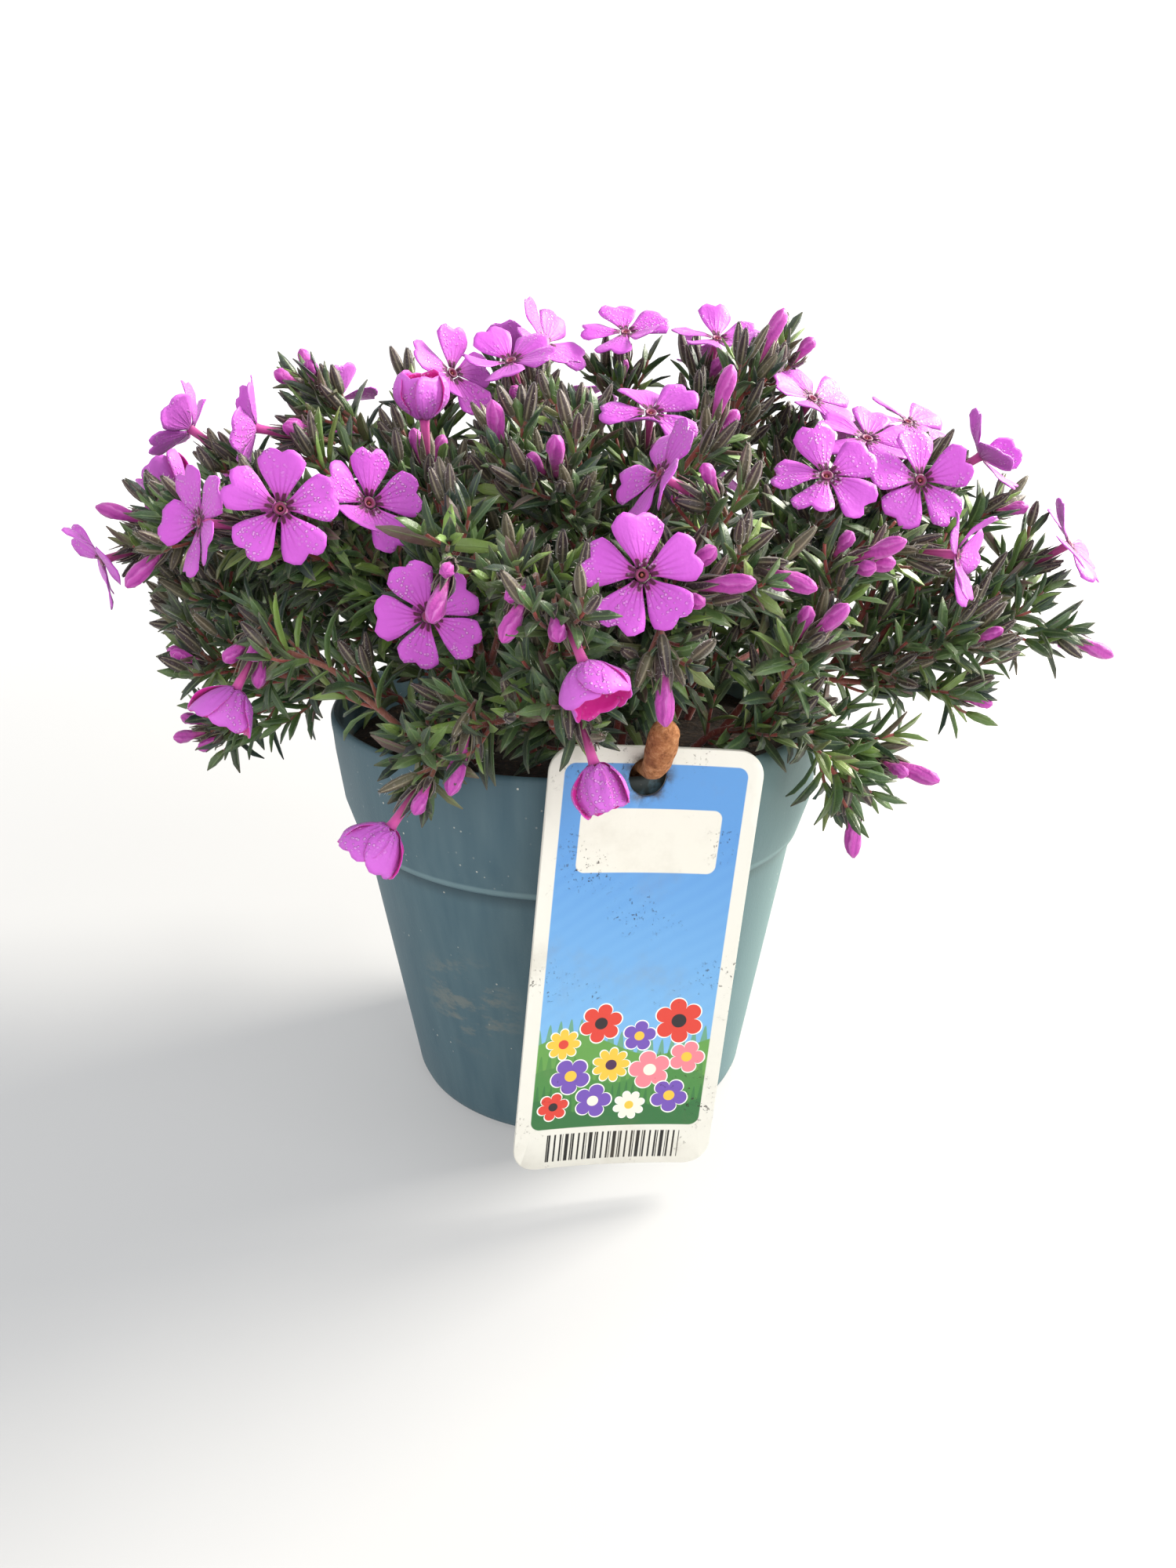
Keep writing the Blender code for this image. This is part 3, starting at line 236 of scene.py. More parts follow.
# Each bloom that the viewer sees: name, centre, bearing and rise of its face, and how far it is open.
SEEN_BLOOMS = (
    ("front", (13, -80, 154), 5, 8, 1.0),
    ("left_star", (-60, -60, 164), 5, 16, 1.0),
    ("left_side", (-80, -50, 160), -55, 12, 0.95),
    ("behind_star", (-45, -42, 163), 35, 25, 0.9),
    ("shade", (-30, -66, 143), -6, -6, 0.95),
    ("upper_mid", (17, -24, 181), 10, 58, 1.0),
    ("crest_left", (-31, 6, 189), 45, 30, 0.9),
    ("crest_high", (-8, 20, 196), 60, 38, 0.85),
    ("crest_near", (-16, -2, 192), -25, 60, 0.9),
    ("crest_mid", (12, 26, 193), 0, 62, 1.0),
    ("crest_right", (35, 22, 193), 20, 62, 1.0),
    ("shoulder_high", (59, 6, 183), 40, 50, 0.95),
    ("right_eye", (54, -44, 169), 0, 48, 1.0),
    ("right_inner", (68, -18, 175), 20, 60, 1.0),
    ("right_outer", (82, 8, 175), 35, 62, 1.0),
    ("right_mid", (77, -34, 167), 12, 25, 0.95),
    ("right_back", (99, -6, 170), 75, 34, 0.85),
    ("right_low", (84, -44, 152), 62, 0, 0.9),
    ("far_right", (123, -8, 149), 62, 36, 1.0),
    ("left_back", (-96, 0, 176), -95, 36, 0.8),
    ("left_up", (-76, -14, 177), -78, 12, 0.8),
    ("far_left", (-116, -16, 146), -58, -14, 0.95),
    ("side_on", (17, -62, 171), -72, 30, 0.95),
    ("cup_up", (-34, -28, 180), 0, 82, 0.36),
    ("nod_left", (-76, -50, 123), -48, -56, 0.5),
    ("nod_mid", (2, -86, 138), 35, -50, 0.44),
    ("nod_label", (4, -84, 117), 40, -62, 0.36),
    ("nod_low", (-38, -80, 102), -66, -50, 0.5),
)
# Blooms on the far side: bearing, lift over the mound from 0 at its foot to 1 at its top, and how far open.
FAR_BLOOMS = (
    (118, 0.42, 1.0),
    (142, 0.70, 0.9),
    (152, 0.30, 1.0),
    (180, 0.52, 1.0),
    (203, 0.78, 0.95),
    (214, 0.26, 0.9),
    (238, 0.55, 1.0),
    (262, 0.30, 0.5),
)
# Shoots that stand out of the mound: name, tip, bearing and rise of the tip, and whether it ends in a bud.
SEEN_SHOOTS = (
    ("low_left", (-97, -2, 98), -88, -14, False),
    ("far_right_bud", (122, -12, 127), 86, -22, True),
    ("label_bud", (70, -45, 105), 62, -12, True),
    ("hanging_bud", (63, -53, 99), 30, -82, True),
    ("crest_bud", (44, 2, 190), 80, 66, True),
    ("crest_shoot", (52, 12, 190), 50, 62, False),
    ("crest_left_shoot", (-66, 4, 186), -60, 50, False),
    ("right_shoulder", (104, -2, 157), 78, 30, False),
    ("left_bud", (-104, -8, 154), -86, 16, True),
    ("left_pink", (-92, -34, 154), -50, -40, True),
    ("left_dark", (-106, 6, 128), -90, -6, False),
    ("right_low_shoot", (98, -20, 114), 80, 8, False),
    ("low_bud", (-22, -72, 121), -20, -50, True),
    ("front_bud", (-25, -70, 153), -10, -30, True),
    ("round_bud", (-4, -42, 168), 0, 40, True),
    ("round_bud_left", (-16, -36, 172), -10, 55, True),
    ("small_bud", (-9, -74, 150), -20, -30, True),
    ("cup_bud", (17, -79, 139), 20, -78, True),
    ("side_bud", (22, -72, 150), 60, 10, True),
    ("right_bud", (36, -66, 153), 50, -10, True),
    ("right_front_bud", (58, -50, 151), 50, 25, True),
)


def unit(vector):
    """The vector at length 1."""
    vector = np.asarray(vector, float)
    return vector / np.linalg.norm(vector)


def heading(bearing, rise):
    """The unit vector of a bearing and a rise, in degrees."""
    b, r = math.radians(bearing), math.radians(rise)
    return np.array((math.sin(b) * math.cos(r), -math.cos(b) * math.cos(r), math.sin(r)))


def bezier(p0, p1, p2, p3, count):
    """Points at even steps of the parameter along a cubic curve."""
    t = np.linspace(0.0, 1.0, count)[:, None]
    return (1 - t) ** 3 * p0 + 3 * t * (1 - t) ** 2 * p1 + 3 * t**2 * (1 - t) * p2 + t**3 * p3


def lengths_along(points):
    """The distance travelled at each point of a path."""
    steps = np.linalg.norm(np.diff(points, axis=0), axis=1)
    return np.concatenate(([0.0], np.cumsum(steps)))


def at_length(points, distance):
    """The point at a distance along a path, and the direction of the path around it."""
    travelled = lengths_along(points)
    distance = min(distance, travelled[-1])
    marks = (distance - 0.5, distance, distance + 0.5)
    before, here, after = np.column_stack([np.interp(marks, travelled, points[:, i]) for i in range(3)])
    return here, unit(after - before)


def spaced(path, stretch):
    """Points evenly spaced along a path, no more than a stretch apart, with its two ends."""
    travelled = lengths_along(path)
    marks = np.linspace(0.0, travelled[-1], 2 + int(travelled[-1] // stretch))
    return np.column_stack([np.interp(marks, travelled, path[:, i]) for i in range(3)])


def side_of(direction):
    """A unit vector at right angles to a direction, level where it can be."""
    up = np.array((0.0, 0.0, 1.0)) if abs(direction[2]) < 0.95 else np.array((0.0, 1.0, 0.0))
    return unit(np.cross(up, direction))


def axes_across(direction):
    """Two unit vectors at right angles to a direction and to each other."""
    side = side_of(direction)
    return side, np.cross(direction, side)


def mound_point(bearing, lift):
    """A point of the mound, a squared-off dome that is deeper at the back. Lift 0 is its foot, 1 its top."""
    b, turn = math.radians(bearing), math.radians(90 * lift)
    depth = MOUND_REACH_FRONT if math.cos(b) > 0 else MOUND_REACH_BACK
    flat = 1.0 / math.hypot(math.sin(b) / MOUND_REACH_X, math.cos(b) / depth)
    reach = flat * math.cos(turn) ** (2 / MOUND_SQUARENESS)
    height = MOUND_FOOT + (MOUND_TOP - MOUND_FOOT) * math.sin(turn) ** (2 / MOUND_SQUARENESS)
    return np.array((math.sin(b) * reach, -math.cos(b) * reach, height))


def petal_slopes(openness):
    """The angles from the bloom's axis at which a petal leaves the throat and ends."""
    return math.radians(42 + 44 * openness), math.radians(-62 + 158 * openness)


def petal_line(openness, shares):
    """Reach from the axis and advance along it of points on a petal's middle line. It turns evenly from its
    first angle to its last, so that a half-open bloom is a cup."""
    first, last = petal_slopes(openness)
    fine = np.linspace(0.0, 1.0, 33)
    angles = first + (last - first) * fine
    step = PETAL_LENGTH / 32
    reach = THROAT_RADIUS + np.concatenate(([0.0], np.cumsum(np.sin(angles[1:]) * step)))
    advance = np.concatenate(([0.0], np.cumsum(np.cos(angles[1:]) * step)))
    return np.interp(shares, fine, reach), np.interp(shares, fine, advance)


def half_width(openness):
    """Half of a petal's width. Petals of a cup are folded narrower."""
    return 2.3 + 2.1 * openness


def bloom_frame(bloom):
    """The bloom's own axes: two across its face, and its facing direction."""
    return (*axes_across(bloom["facing"]), bloom["facing"])


def bloom_point(bloom, reach, angle, advance, sideways):
    """A point of a bloom from its reach, its angle round the axis, its advance and a step to the side."""
    across, along, facing = bloom_frame(bloom)
    out = math.cos(angle) * across + math.sin(angle) * along
    side = -math.sin(angle) * across + math.cos(angle) * along
    return bloom["centre"] + out * reach + side * sideways + facing * advance


def petal_angle(bloom, petal):
    """The angle of a petal's middle line round the bloom's axis."""
    return bloom["turn"] + 2 * math.pi * petal / PETALS


def bloom_probes(bloom):
    """Points spread over a bloom's petals and tube, by which stems and other blooms keep clear of it."""
    reach, advance = petal_line(bloom["open"], (0.35, 0.7, 1.0))
    width = half_width(bloom["open"])
    probes = [bloom["centre"] - bloom["facing"] * d for d in (2.5, 5.0, 7.5)]
    for petal in range(PETALS):
        angle = petal_angle(bloom, petal)
        for r, a in zip(reach, advance):
            for side in (-0.6 * width, 0.6 * width):
                probes.append(bloom_point(bloom, r, angle, a, side))
    return np.array(probes)


def plan_blooms(rng):
    """Every bloom's centre, facing and openness. Those too close together are moved out one by one."""
    blooms = []
    for name, centre, bearing, rise, openness in SEEN_BLOOMS:
        facing = heading(bearing, rise)
        blooms.append({"name": name, "centre": np.array(centre, float), "facing": facing, "open": openness})
    for i, (bearing, lift, openness) in enumerate(FAR_BLOOMS, 1):
        centre = mound_point(bearing, lift)
        facing = unit(unit(centre - CROWN) + np.array((0.0, 0.0, 0.25)))
        blooms.append({"name": f"far_{i}", "centre": centre + 4 * facing, "facing": facing, "open": openness})
    for bloom in blooms:
        bloom["turn"] = rng.uniform(0.0, 2 * math.pi / PETALS)
    for i, bloom in enumerate(blooms):
        for _ in range(PUSHES):
            others = [bloom_probes(other) for other in blooms[:i]]
            if not others or nearest(bloom_probes(bloom), np.concatenate(others)) > BLOOM_GAP:
                break
            bloom["centre"] = bloom["centre"] + PUSH * unit(bloom["centre"] - CROWN)
    return blooms


def nearest(points, others):
    """The smallest distance between two sets of points."""
    return float(np.min(np.linalg.norm(points[:, None, :] - others[None, :, :], axis=2)))


def plan_tips(rng, blooms):
    """Every branch's end: a bloom's seat, a bud, or a leafy tip that fills the mound between them."""
    tips = []
    for i, bloom in enumerate(blooms):
        seat = bloom["centre"] - bloom["facing"] * (TUBE_LENGTH + CALYX_SEAT + FIT_GAP)
        tips.append({"end": seat, "aim": bloom["facing"], "kind": "bloom", "bloom": i})
    for _, tip, bearing, rise, bud in SEEN_SHOOTS:
        aim = heading(bearing, rise)
        tips.append({"end": np.array(tip, float), "aim": aim, "kind": "bud" if bud else "leaf"})
    probes = np.concatenate([bloom_probes(bloom) for bloom in blooms])
    taken = [tip["end"] for tip in tips]
    golden = 180 * (3 - math.sqrt(5))
    for i in range(LEAFY_TIPS):
        lift = math.degrees(math.asin((i + 0.5) / LEAFY_TIPS)) / 90
        outer = mound_point(golden * i + rng.uniform(-8, 8), lift)
        aim = unit(unit(outer - CROWN) + np.array((0.0, 0.0, 0.15)))
        end = outer - aim * rng.uniform(6.0, 14.0)
        ahead = end + aim * 6.0
        crowded = nearest(end[None, :], np.array(taken)) < TIP_SPACING
        if crowded or nearest(ahead[None, :], probes) < BLOOM_BERTH:
            continue
        taken.append(end)
        tips.append({"end": end, "aim": aim, "kind": "bud" if rng.random() < BUD_SHARE else "leaf"})
    return tips


def spray_directions():
    """Sprays stand in three rings round the crown: low ones over the rim, middle ones and top ones."""
    directions = []
    for count, rise, shift in ((SPRAYS_LOW, 22, 0.0), (SPRAYS_MIDDLE, 48, 0.5), (SPRAYS_TOP, 74, 0.25)):
        for i in range(count):
            directions.append((360 * (i + shift) / count, rise))
    return directions


def plan_sprays(tips):
    """Each spray takes the tips that lie nearest to its direction, up to some crowding."""
    sprays = []
    for bearing, rise in spray_directions():
        lean = (90 - rise) / 90
        hole = np.array((0.0, 0.0, SOIL_LEVEL)) + heading(bearing, 0) * (HOLE_NEAREST + HOLE_SPREAD * lean)
        start = unit(heading(bearing, 0) * 0.34 * lean + np.array((0.0, 0.0, 1.0)))
        sprays.append({"facing": heading(bearing, rise), "hole": hole, "start": start, "tips": []})
    for tip in tips:
        toward = unit(tip["end"] - CROWN)
        scores = [spray["facing"] @ toward - CROWDING * len(spray["tips"]) for spray in sprays]
        sprays[int(np.argmax(scores))]["tips"].append(tip)
    return [spray for spray in sprays if spray["tips"]]


def clear_of_pot(path, margin):
    """True where a path is over the rim or outside the collar, and off the soil, the label and the peg."""
    reach = np.hypot(path[:, 0], path[:, 1])
    inside, outside = reach < RIM_RADIUS - 5, reach > RIM_RADIUS + margin
    by_wall = inside | outside | (path[:, 2] > POT_HEIGHT + margin)
    above_soil = ~inside | (path[:, 2] > SOIL_LEVEL + 1.0)
    bearing = np.degrees(np.arctan2(path[:, 0], -path[:, 1]))
    before_rim = (reach > RIM_RADIUS - 6) & (reach < RIM_RADIUS + 14)
    by_label = (np.abs(bearing - LABEL_BEARING) < LABEL_BERTH) & before_rim
    top = np.where(np.abs(bearing - PEG_BEARING) < PEG_BERTH, PEG_PATH[-1][1] + 4.0, LABEL_TOP + 4.0)
    return bool(np.all(by_wall & above_soil & (~by_label | (path[:, 2] > top))))


def route(rng, start, leave, end, arrive, bends, sway, taken, own):
    """A curved path from start to end that keeps clear of the pot and of the points already taken. It leaves
    and arrives in the given directions, the first of them held where sway is 0. Of some ever wider seeded
    tries the first clear one is kept, or else the clearest."""
    span = np.linalg.norm(end - start)
    best, best_gap = None, -9.0
    for attempt in range(ROUTE_TRIES):
        spread = 0.012 * attempt * span
        shifts = [np.array([rng.uniform(-spread, spread) for _ in range(3)]) for _ in range(2)]
        first = start + leave * span * bends[0] * rng.uniform(1.0, 1.0 + 0.02 * attempt) + sway * shifts[0]
        second = end - arrive * span * bends[1] + shifts[1]
        path = spaced(bezier(start, first, second, end, ROUTE_POINTS), BARE_STRETCH)
        along = spaced(path, PROBE_STEP)
        gap = nearest(along[1:], taken) if len(taken) else STEM_CLEARANCE
        if len(own):
            gap = min(gap, 1.3 * nearest(along[4:], own))
        gap = min(gap, STEM_CLEARANCE)
        if not clear_of_pot(along[1:], RIM_CLEARANCE):
            gap -= 4.0
        if gap > best_gap:
            best, best_gap = path, gap
        if best_gap >= STEM_CLEARANCE:
            break
    return best


def joined(paths):
    """The points of several paths in one array."""
    return np.concatenate(paths) if paths else np.empty((0, 3))


def plan_paths(rng, sprays, blooms):
    """Routes each spray's main stem to its fork, then each branch from the stem to its end."""
    probes = {i: bloom_probes(bloom) for i, bloom in enumerate(blooms)}
    laid = []
    for number, spray in enumerate(sprays):
        middle = np.mean([tip["end"] for tip in spray["tips"]], axis=0)
        fork = spray["hole"] + FORK_SHARE * (middle - spray["hole"])
        fork[2] = max(fork[2], POT_HEIGHT + 7.0)
        arrive = unit(middle - spray["hole"])
        taken = joined([points for _, points in laid])
        path = route(rng, spray["hole"], spray["start"], fork, arrive, (0.4, 0.3), 0, taken, ())
        root = spray["hole"] - spray["start"] * ROOT_DEPTH
        spray["stem"] = np.vstack((root, path))
        laid.append((number, spaced(path, PROBE_STEP)))
        spray["branches"] = []
    for number, spray in enumerate(sprays):
        order = sorted(spray["tips"], key=lambda tip: np.linalg.norm(tip["end"] - spray["hole"]))
        length = lengths_along(spray["stem"])[-1]
        own = []
        for rank, tip in enumerate(order):
            share = BRANCHES_FROM + (1 - BRANCHES_FROM) * (rank + 1) / len(order)
            start, leave = at_length(spray["stem"], share * length)
            others = [points for owner, points in laid if owner != number]
            others += [points for i, points in probes.items() if i != tip.get("bloom")]
            toward = unit(leave + 1.1 * unit(tip["end"] - start))
            bends = (0.3, 0.32)
            path = route(rng, start, toward, tip["end"], tip["aim"], bends, 1, joined(others), joined(own))
            along = spaced(path, PROBE_STEP)
            laid.append((number, along))
            own.append(along[4:])
            spray["branches"].append({"path": path, "tip": tip})
    return sprays


def plan_plant():
    """The whole plant: blooms, and sprays with their stems and branches. It is the same each run."""
    rng = random.Random(SEED)
    blooms = plan_blooms(rng)
    return blooms, plan_paths(rng, plan_sprays(plan_tips(rng, blooms)), blooms)


def label_axes():
    """The middle of the label's top edge, and its rightward, downward and forward directions."""
    yaw, roll = math.radians(LABEL_YAW), math.radians(LABEL_ROLL)
    level = np.array((math.cos(yaw), math.sin(yaw), 0.0))
    front = np.array((math.sin(yaw), -math.cos(yaw), 0.0))
    down = np.array((0.0, 0.0, -1.0))
    right = level * math.cos(roll) + down * math.sin(roll)
    lean = math.radians(LABEL_LEAN)
    below = (down * math.cos(roll) - level * math.sin(roll)) * math.cos(lean) + front * math.sin(lean)
    front = np.cross(below, right)
    top = heading(LABEL_BEARING, 0) * LABEL_REACH + np.array((0.0, 0.0, LABEL_TOP))
    return top, right, below, front


def slot_shift():
    """How far the slot's middle lies right of the card's middle, so that the peg passes through it."""
    top, right, _, _ = label_axes()
    reach, height, _ = PEG_PATH[PEG_AT_LABEL]
    return float((heading(PEG_BEARING, 0) * reach + (0, 0, height) - top) @ right)


# Surfaces. Each works out whole arrays of points, in millimetres.

NO_QUADS = np.empty((0, 4), int)
NO_TRIS = np.empty((0, 3), int)


class Mass:
    """Gathers closed surfaces into one mesh, with numbers kept on its points for the finishes to read."""

    def __init__(self, *marks):
        self.marks = marks
        self.points, self.quads, self.tris, self.quad_paint, self.tri_paint = [], [], [], [], []
        self.values = {mark: [] for mark in marks}
        self.count = 0

    def add(self, points, quads, tris, paint=0, **values):
        """Adds points (n, 3) with their faces. Each value is one number for all of them or one for each."""
        self.points.append(points)
        self.quads.append(quads + self.count)
        self.tris.append(tris + self.count)
        self.quad_paint.append(np.full(len(quads), paint))
        self.tri_paint.append(np.full(len(tris), paint))
        for mark in self.marks:
            self.values[mark].append(np.broadcast_to(values.get(mark, 0.0), len(points)))
        self.count += len(points)

    def mesh(self, name):
        """One mesh of everything gathered, in metres."""
        points = np.concatenate(self.points) * MM
        quads, tris = np.concatenate(self.quads), np.concatenate(self.tris)
        made = bpy.data.meshes.new(name)
        made.vertices.add(len(points))
        made.vertices.foreach_set("co", points.astype(np.float32).ravel())
        corners = np.concatenate((quads.ravel(), tris.ravel())).astype(np.int32)
        made.loops.add(len(corners))
        made.loops.foreach_set("vertex_index", corners)
        sizes = np.concatenate((np.full(len(quads), 4), np.full(len(tris), 3))).astype(np.int32)
        made.polygons.add(len(sizes))
        made.polygons.foreach_set("loop_start", (np.cumsum(sizes) - sizes).astype(np.int32))
        made.polygons.foreach_set("loop_total", sizes)
        paint = np.concatenate(self.quad_paint + self.tri_paint).astype(np.int32)
        made.update(calc_edges=True)
        made.polygons.foreach_set("material_index", paint)
        made.shade_smooth()
        for mark in self.marks:
            layer = made.attributes.new(mark, "FLOAT", "POINT")
            layer.data.foreach_set("value", np.concatenate(self.values[mark]).astype(np.float32))
        return made


def loft(rings, ends="point"):
    """Closed bodies from rings (bodies, rings, points, 3): quads join each ring to the next. The ends close
    in a point at the ring's middle, or in a strip across a blade's two faces."""
    bodies, rows, around, _ = rings.shape
    points = rings.reshape(bodies, rows * around, 3)
    k = np.arange(around)
    after = (k + 1) % around
    low = (np.arange(rows - 1) * around)[:, None]
    quads = np.stack((low + k, low + after, low + around + after, low + around + k), axis=-1).reshape(-1, 4)
    last = (rows - 1) * around
    if ends == "point":
        middles = rings[:, (0, -1)].mean(axis=2)
        points = np.concatenate((points, middles), axis=1)
        first = np.stack((after, k, np.full(around, rows * around)), axis=-1)
        final = np.stack((last + k, last + after, np.full(around, rows * around + 1)), axis=-1)
        tris = np.concatenate((first, final))
    else:
        j = np.arange(around // 2 - 1)
        strip = np.stack((j, around - 1 - j, around - 2 - j, j + 1), axis=-1)
        quads = np.concatenate((quads, strip, last + strip[:, ::-1]))
        tris = NO_TRIS
    size = points.shape[1]
    shift = (np.arange(bodies) * size)[:, None, None]
    return points.reshape(-1, 3), (quads + shift).reshape(-1, 4), (tris + shift).reshape(-1, 3)


def spread(values, ends="point"):
    """The numbers of a loft's rings (bodies, rings, points), with one more at each closing point."""
    bodies = values.shape[0]
    flat = values.reshape(bodies, -1)
    if ends == "point":
        flat = np.concatenate((flat, values[:, (0, -1)].mean(axis=2)), axis=1)
    return flat.ravel()


def lengthened(vectors):
    """Each vector of an array at length 1."""
    return vectors / np.maximum(np.linalg.norm(vectors, axis=-1, keepdims=True), 1e-9)


def circle(sides):
    """Angles evenly spaced round a circle, in radians."""
    return 2 * np.pi * np.arange(sides) / sides


def tubes(paths, radii, sides):
    """Round bars along paths (bodies, rings, 3): at each path point a circle of its radius stands across the
    path. The circle starts from the direction that lies furthest from the path as a whole."""
    tangents = lengthened(np.gradient(paths, axis=1))
    chord = lengthened(paths[:, -1] - paths[:, 0])
    least = np.eye(3)[np.argmin(np.abs(chord), axis=1)][:, None, :]
    side = lengthened(least - np.sum(least * tangents, axis=2, keepdims=True) * tangents)
    other = np.cross(tangents, side)
    angles = circle(sides)
    across = np.cos(angles)[:, None] * side[:, :, None, :] + np.sin(angles)[:, None] * other[:, :, None, :]
    return paths[:, :, None, :] + radii[:, :, None, None] * across


def blades(foot, axis, out, length, width, first, last, twist, rows, widths, fold, thick):
    """Leaf blades. The midline starts at foot and turns evenly from the angle first to the angle last, away
    from the axis and towards out. Across it the blade is a shallow V: its edges are raised by a fold, and it
    has a keel on its back. Foot, axis and out are (blades, 3), and length, width and the angles (blades,)."""
    u = rows[None, :]
    angle = first[:, None] + (last - first)[:, None] * u
    along = np.cos(angle)[..., None] * axis[:, None] + np.sin(angle)[..., None] * out[:, None]
    upper = np.sin(angle)[..., None] * axis[:, None] - np.cos(angle)[..., None] * out[:, None]
    steps = np.diff(rows)[None, :, None] * length[:, None, None] * (along[:, 1:] + along[:, :-1]) / 2
    middle = foot[:, None] + np.concatenate((np.zeros_like(steps[:, :1]), np.cumsum(steps, axis=1)), axis=1)
    side = np.cross(out, axis)[:, None]
    turn = (twist[:, None] * u)[..., None]
    side, upper = side * np.cos(turn) + upper * np.sin(turn), upper * np.cos(turn) - side * np.sin(turn)
    half = (width[:, None] * widths[None, :])[..., None]
    face = [middle + side * half * v + upper * (half * fold * abs(v)) for v in (-1, 0, 1)]
    depth = upper * (thick * (0.35 + 0.65 * widths)[None, :, None])
    back = [face[2] - 0.5 * depth, face[1] - 1.3 * depth, face[0] - 0.5 * depth]
    return np.stack(face + back, axis=2)


def blade_marks(count, rows):
    """The numbers along and across the points of blades, for spread."""
    shape = (count, len(rows), BLADE_POINTS)
    along = np.broadcast_to(rows[None, :, None], shape)
    across = np.broadcast_to(np.array((-1.0, 0.0, 1.0, 1.0, 0.0, -1.0)), shape)
    return along, across


class Growth:
    """Gathers the stems, leaves, sepals and buds of one spray as lists of numbers. Its fits function tells
    whether points stand clear of the pot, the label and the blooms."""

    def __init__(self, fits):
        self.fits = fits
        self.leaves, self.sepals, self.stems, self.twigs, self.buds, self.dark_buds = [], [], [], [], [], []

    def leaf(self, foot, axis, out, length, width, first, last, twist, tone):
        """A blade that turns from the angle first to the angle last, and twists by so much to its tip."""
        self.leaves.append((*foot, *axis, *out, length, width, first, last, twist, tone))

    def sepal(self, foot, axis, out, length, width, first, last, tone):
        """A blade like a leaf's, without a twist."""
        self.sepals.append((*foot, *axis, *out, length, width, first, last, 0.0, tone))

    def stem(self, path, radius, end_radius, tone):
        """A main stem or a branch, its radius changing evenly from its foot to its end."""
        self.stems.append((path, radius, end_radius, tone))

    def twig(self, path, radius, end_radius, tone):
        """A side shoot's stem or a bud's stalk."""
        self.twigs.append((spaced_to(path, TWIG_RINGS), radius, end_radius, tone))

    def bud(self, foot, aim, length, radius, turn, tone):
        """A furled pink bud."""
        self.buds.append((*foot, *aim, length, radius, turn, tone))


def spaced_to(path, count, passes=0):
    """A path's points spaced evenly again, count of them, each then drawn towards its neighbours."""
    travelled = lengths_along(path)
    marks = np.linspace(0.0, travelled[-1], count)
    points = np.column_stack([np.interp(marks, travelled, path[:, i]) for i in range(3)])
    for _ in range(passes):
        points[1:-1] = (points[:-2] + 2 * points[1:-1] + points[2:]) / 4
    return points


def frames_along(path, stops):
    """At given distances along a path: the point, the direction, and two carried directions across it."""
    found, side = [], None
    for stop in stops:
        centre, tangent = at_length(path, stop)
        side = side_of(tangent) if side is None else side
        side = unit(side - (side @ tangent) * tangent)
        found.append((centre, tangent, side, np.cross(tangent, side)))
    return found


def leaf_pair(rng, growth, centre, tangent, out, length, first, last, stem_radius):
    """Two opposite leaves at a node, each a little different."""
    tone = rng.random()
    for way in (out, -out):
        long = length * rng.uniform(0.85, 1.12)
        foot = centre + way * stem_radius * 0.6
        width = LEAF_WIDTH * rng.uniform(0.82, 1.15) * (long / LEAF_LENGTH) ** 0.4
        leaves, arrives = first + rng.uniform(-0.12, 0.12), last + rng.uniform(-0.25, 0.3)
        twist = rng.uniform(-0.5, 0.5)
        own_tone = min(1.0, max(0.0, tone + rng.uniform(-0.15, 0.15)))
        growth.leaf(foot, tangent, way, long, width, leaves, arrives, twist, own_tone)


def turned(side, other, angle):
    """The direction at an angle from the first of two directions towards the second."""
    return math.cos(angle) * side + math.sin(angle) * other


def calyx(rng, growth, foot, aim, length, radius, close, tone):
    """Five narrow sepals round a stem's end, that stand out to a radius and close in again at their tips."""
    side, other = axes_across(aim)
    start = rng.uniform(0, 2)
    for k in range(SEPALS):
        out = turned(side, other, start + 2 * math.pi * k / SEPALS)
        growth.sepal(
            foot + out * 0.35, aim, out, length * rng.uniform(0.92, 1.08), radius * 0.62,
            math.asin(min(0.9, radius / length * 2.6)), -close + rng.uniform(-0.05, 0.08), tone)


def dark_bud(rng, growth, foot, aim, length):
    """A closed flower bud that shows only its pressed sepals."""
    growth.dark_buds.append((*foot, *aim, length, rng.uniform(1.1, 1.4), rng.uniform(0, 6), rng.random()))


def bud_cluster(rng, growth, path, count):
    """A few closed buds on short stalks round a shoot's end."""
    end, aim = path[-1], unit(path[-1] - path[-2])
    side, other = axes_across(aim)
    start = rng.uniform(0, 6)
    for k in range(count):
        lean = rng.uniform(0.12, 0.5)
        way = turned(side, other, start + 2 * math.pi * k / count)
        bud_aim = unit(math.cos(lean) * aim + math.sin(lean) * way + np.array((0.0, 0.0, 0.25)))
        foot = end + bud_aim * rng.uniform(0.5, 3.0) + way * 0.9
        long = rng.uniform(6.5, 9.5)
        if growth.fits(np.array([foot, foot + bud_aim * long])):
            stalk = np.array([end - aim * 0.5, foot - bud_aim * 0.4, foot + bud_aim * 0.6])
            growth.twig(stalk, 0.4, 0.55, 0.8)
            dark_bud(rng, growth, foot, bud_aim, long)


def pink_bud(rng, growth, foot, aim, length, radius):
    """A furled pink bud that stands out of its sepals."""
    growth.bud(foot + aim * 1.0, aim, length - 1.0, radius, rng.uniform(0, 6), rng.random())
    calyx(rng, growth, foot, aim, length * 0.55, radius * 0.78, 0.16, rng.random())


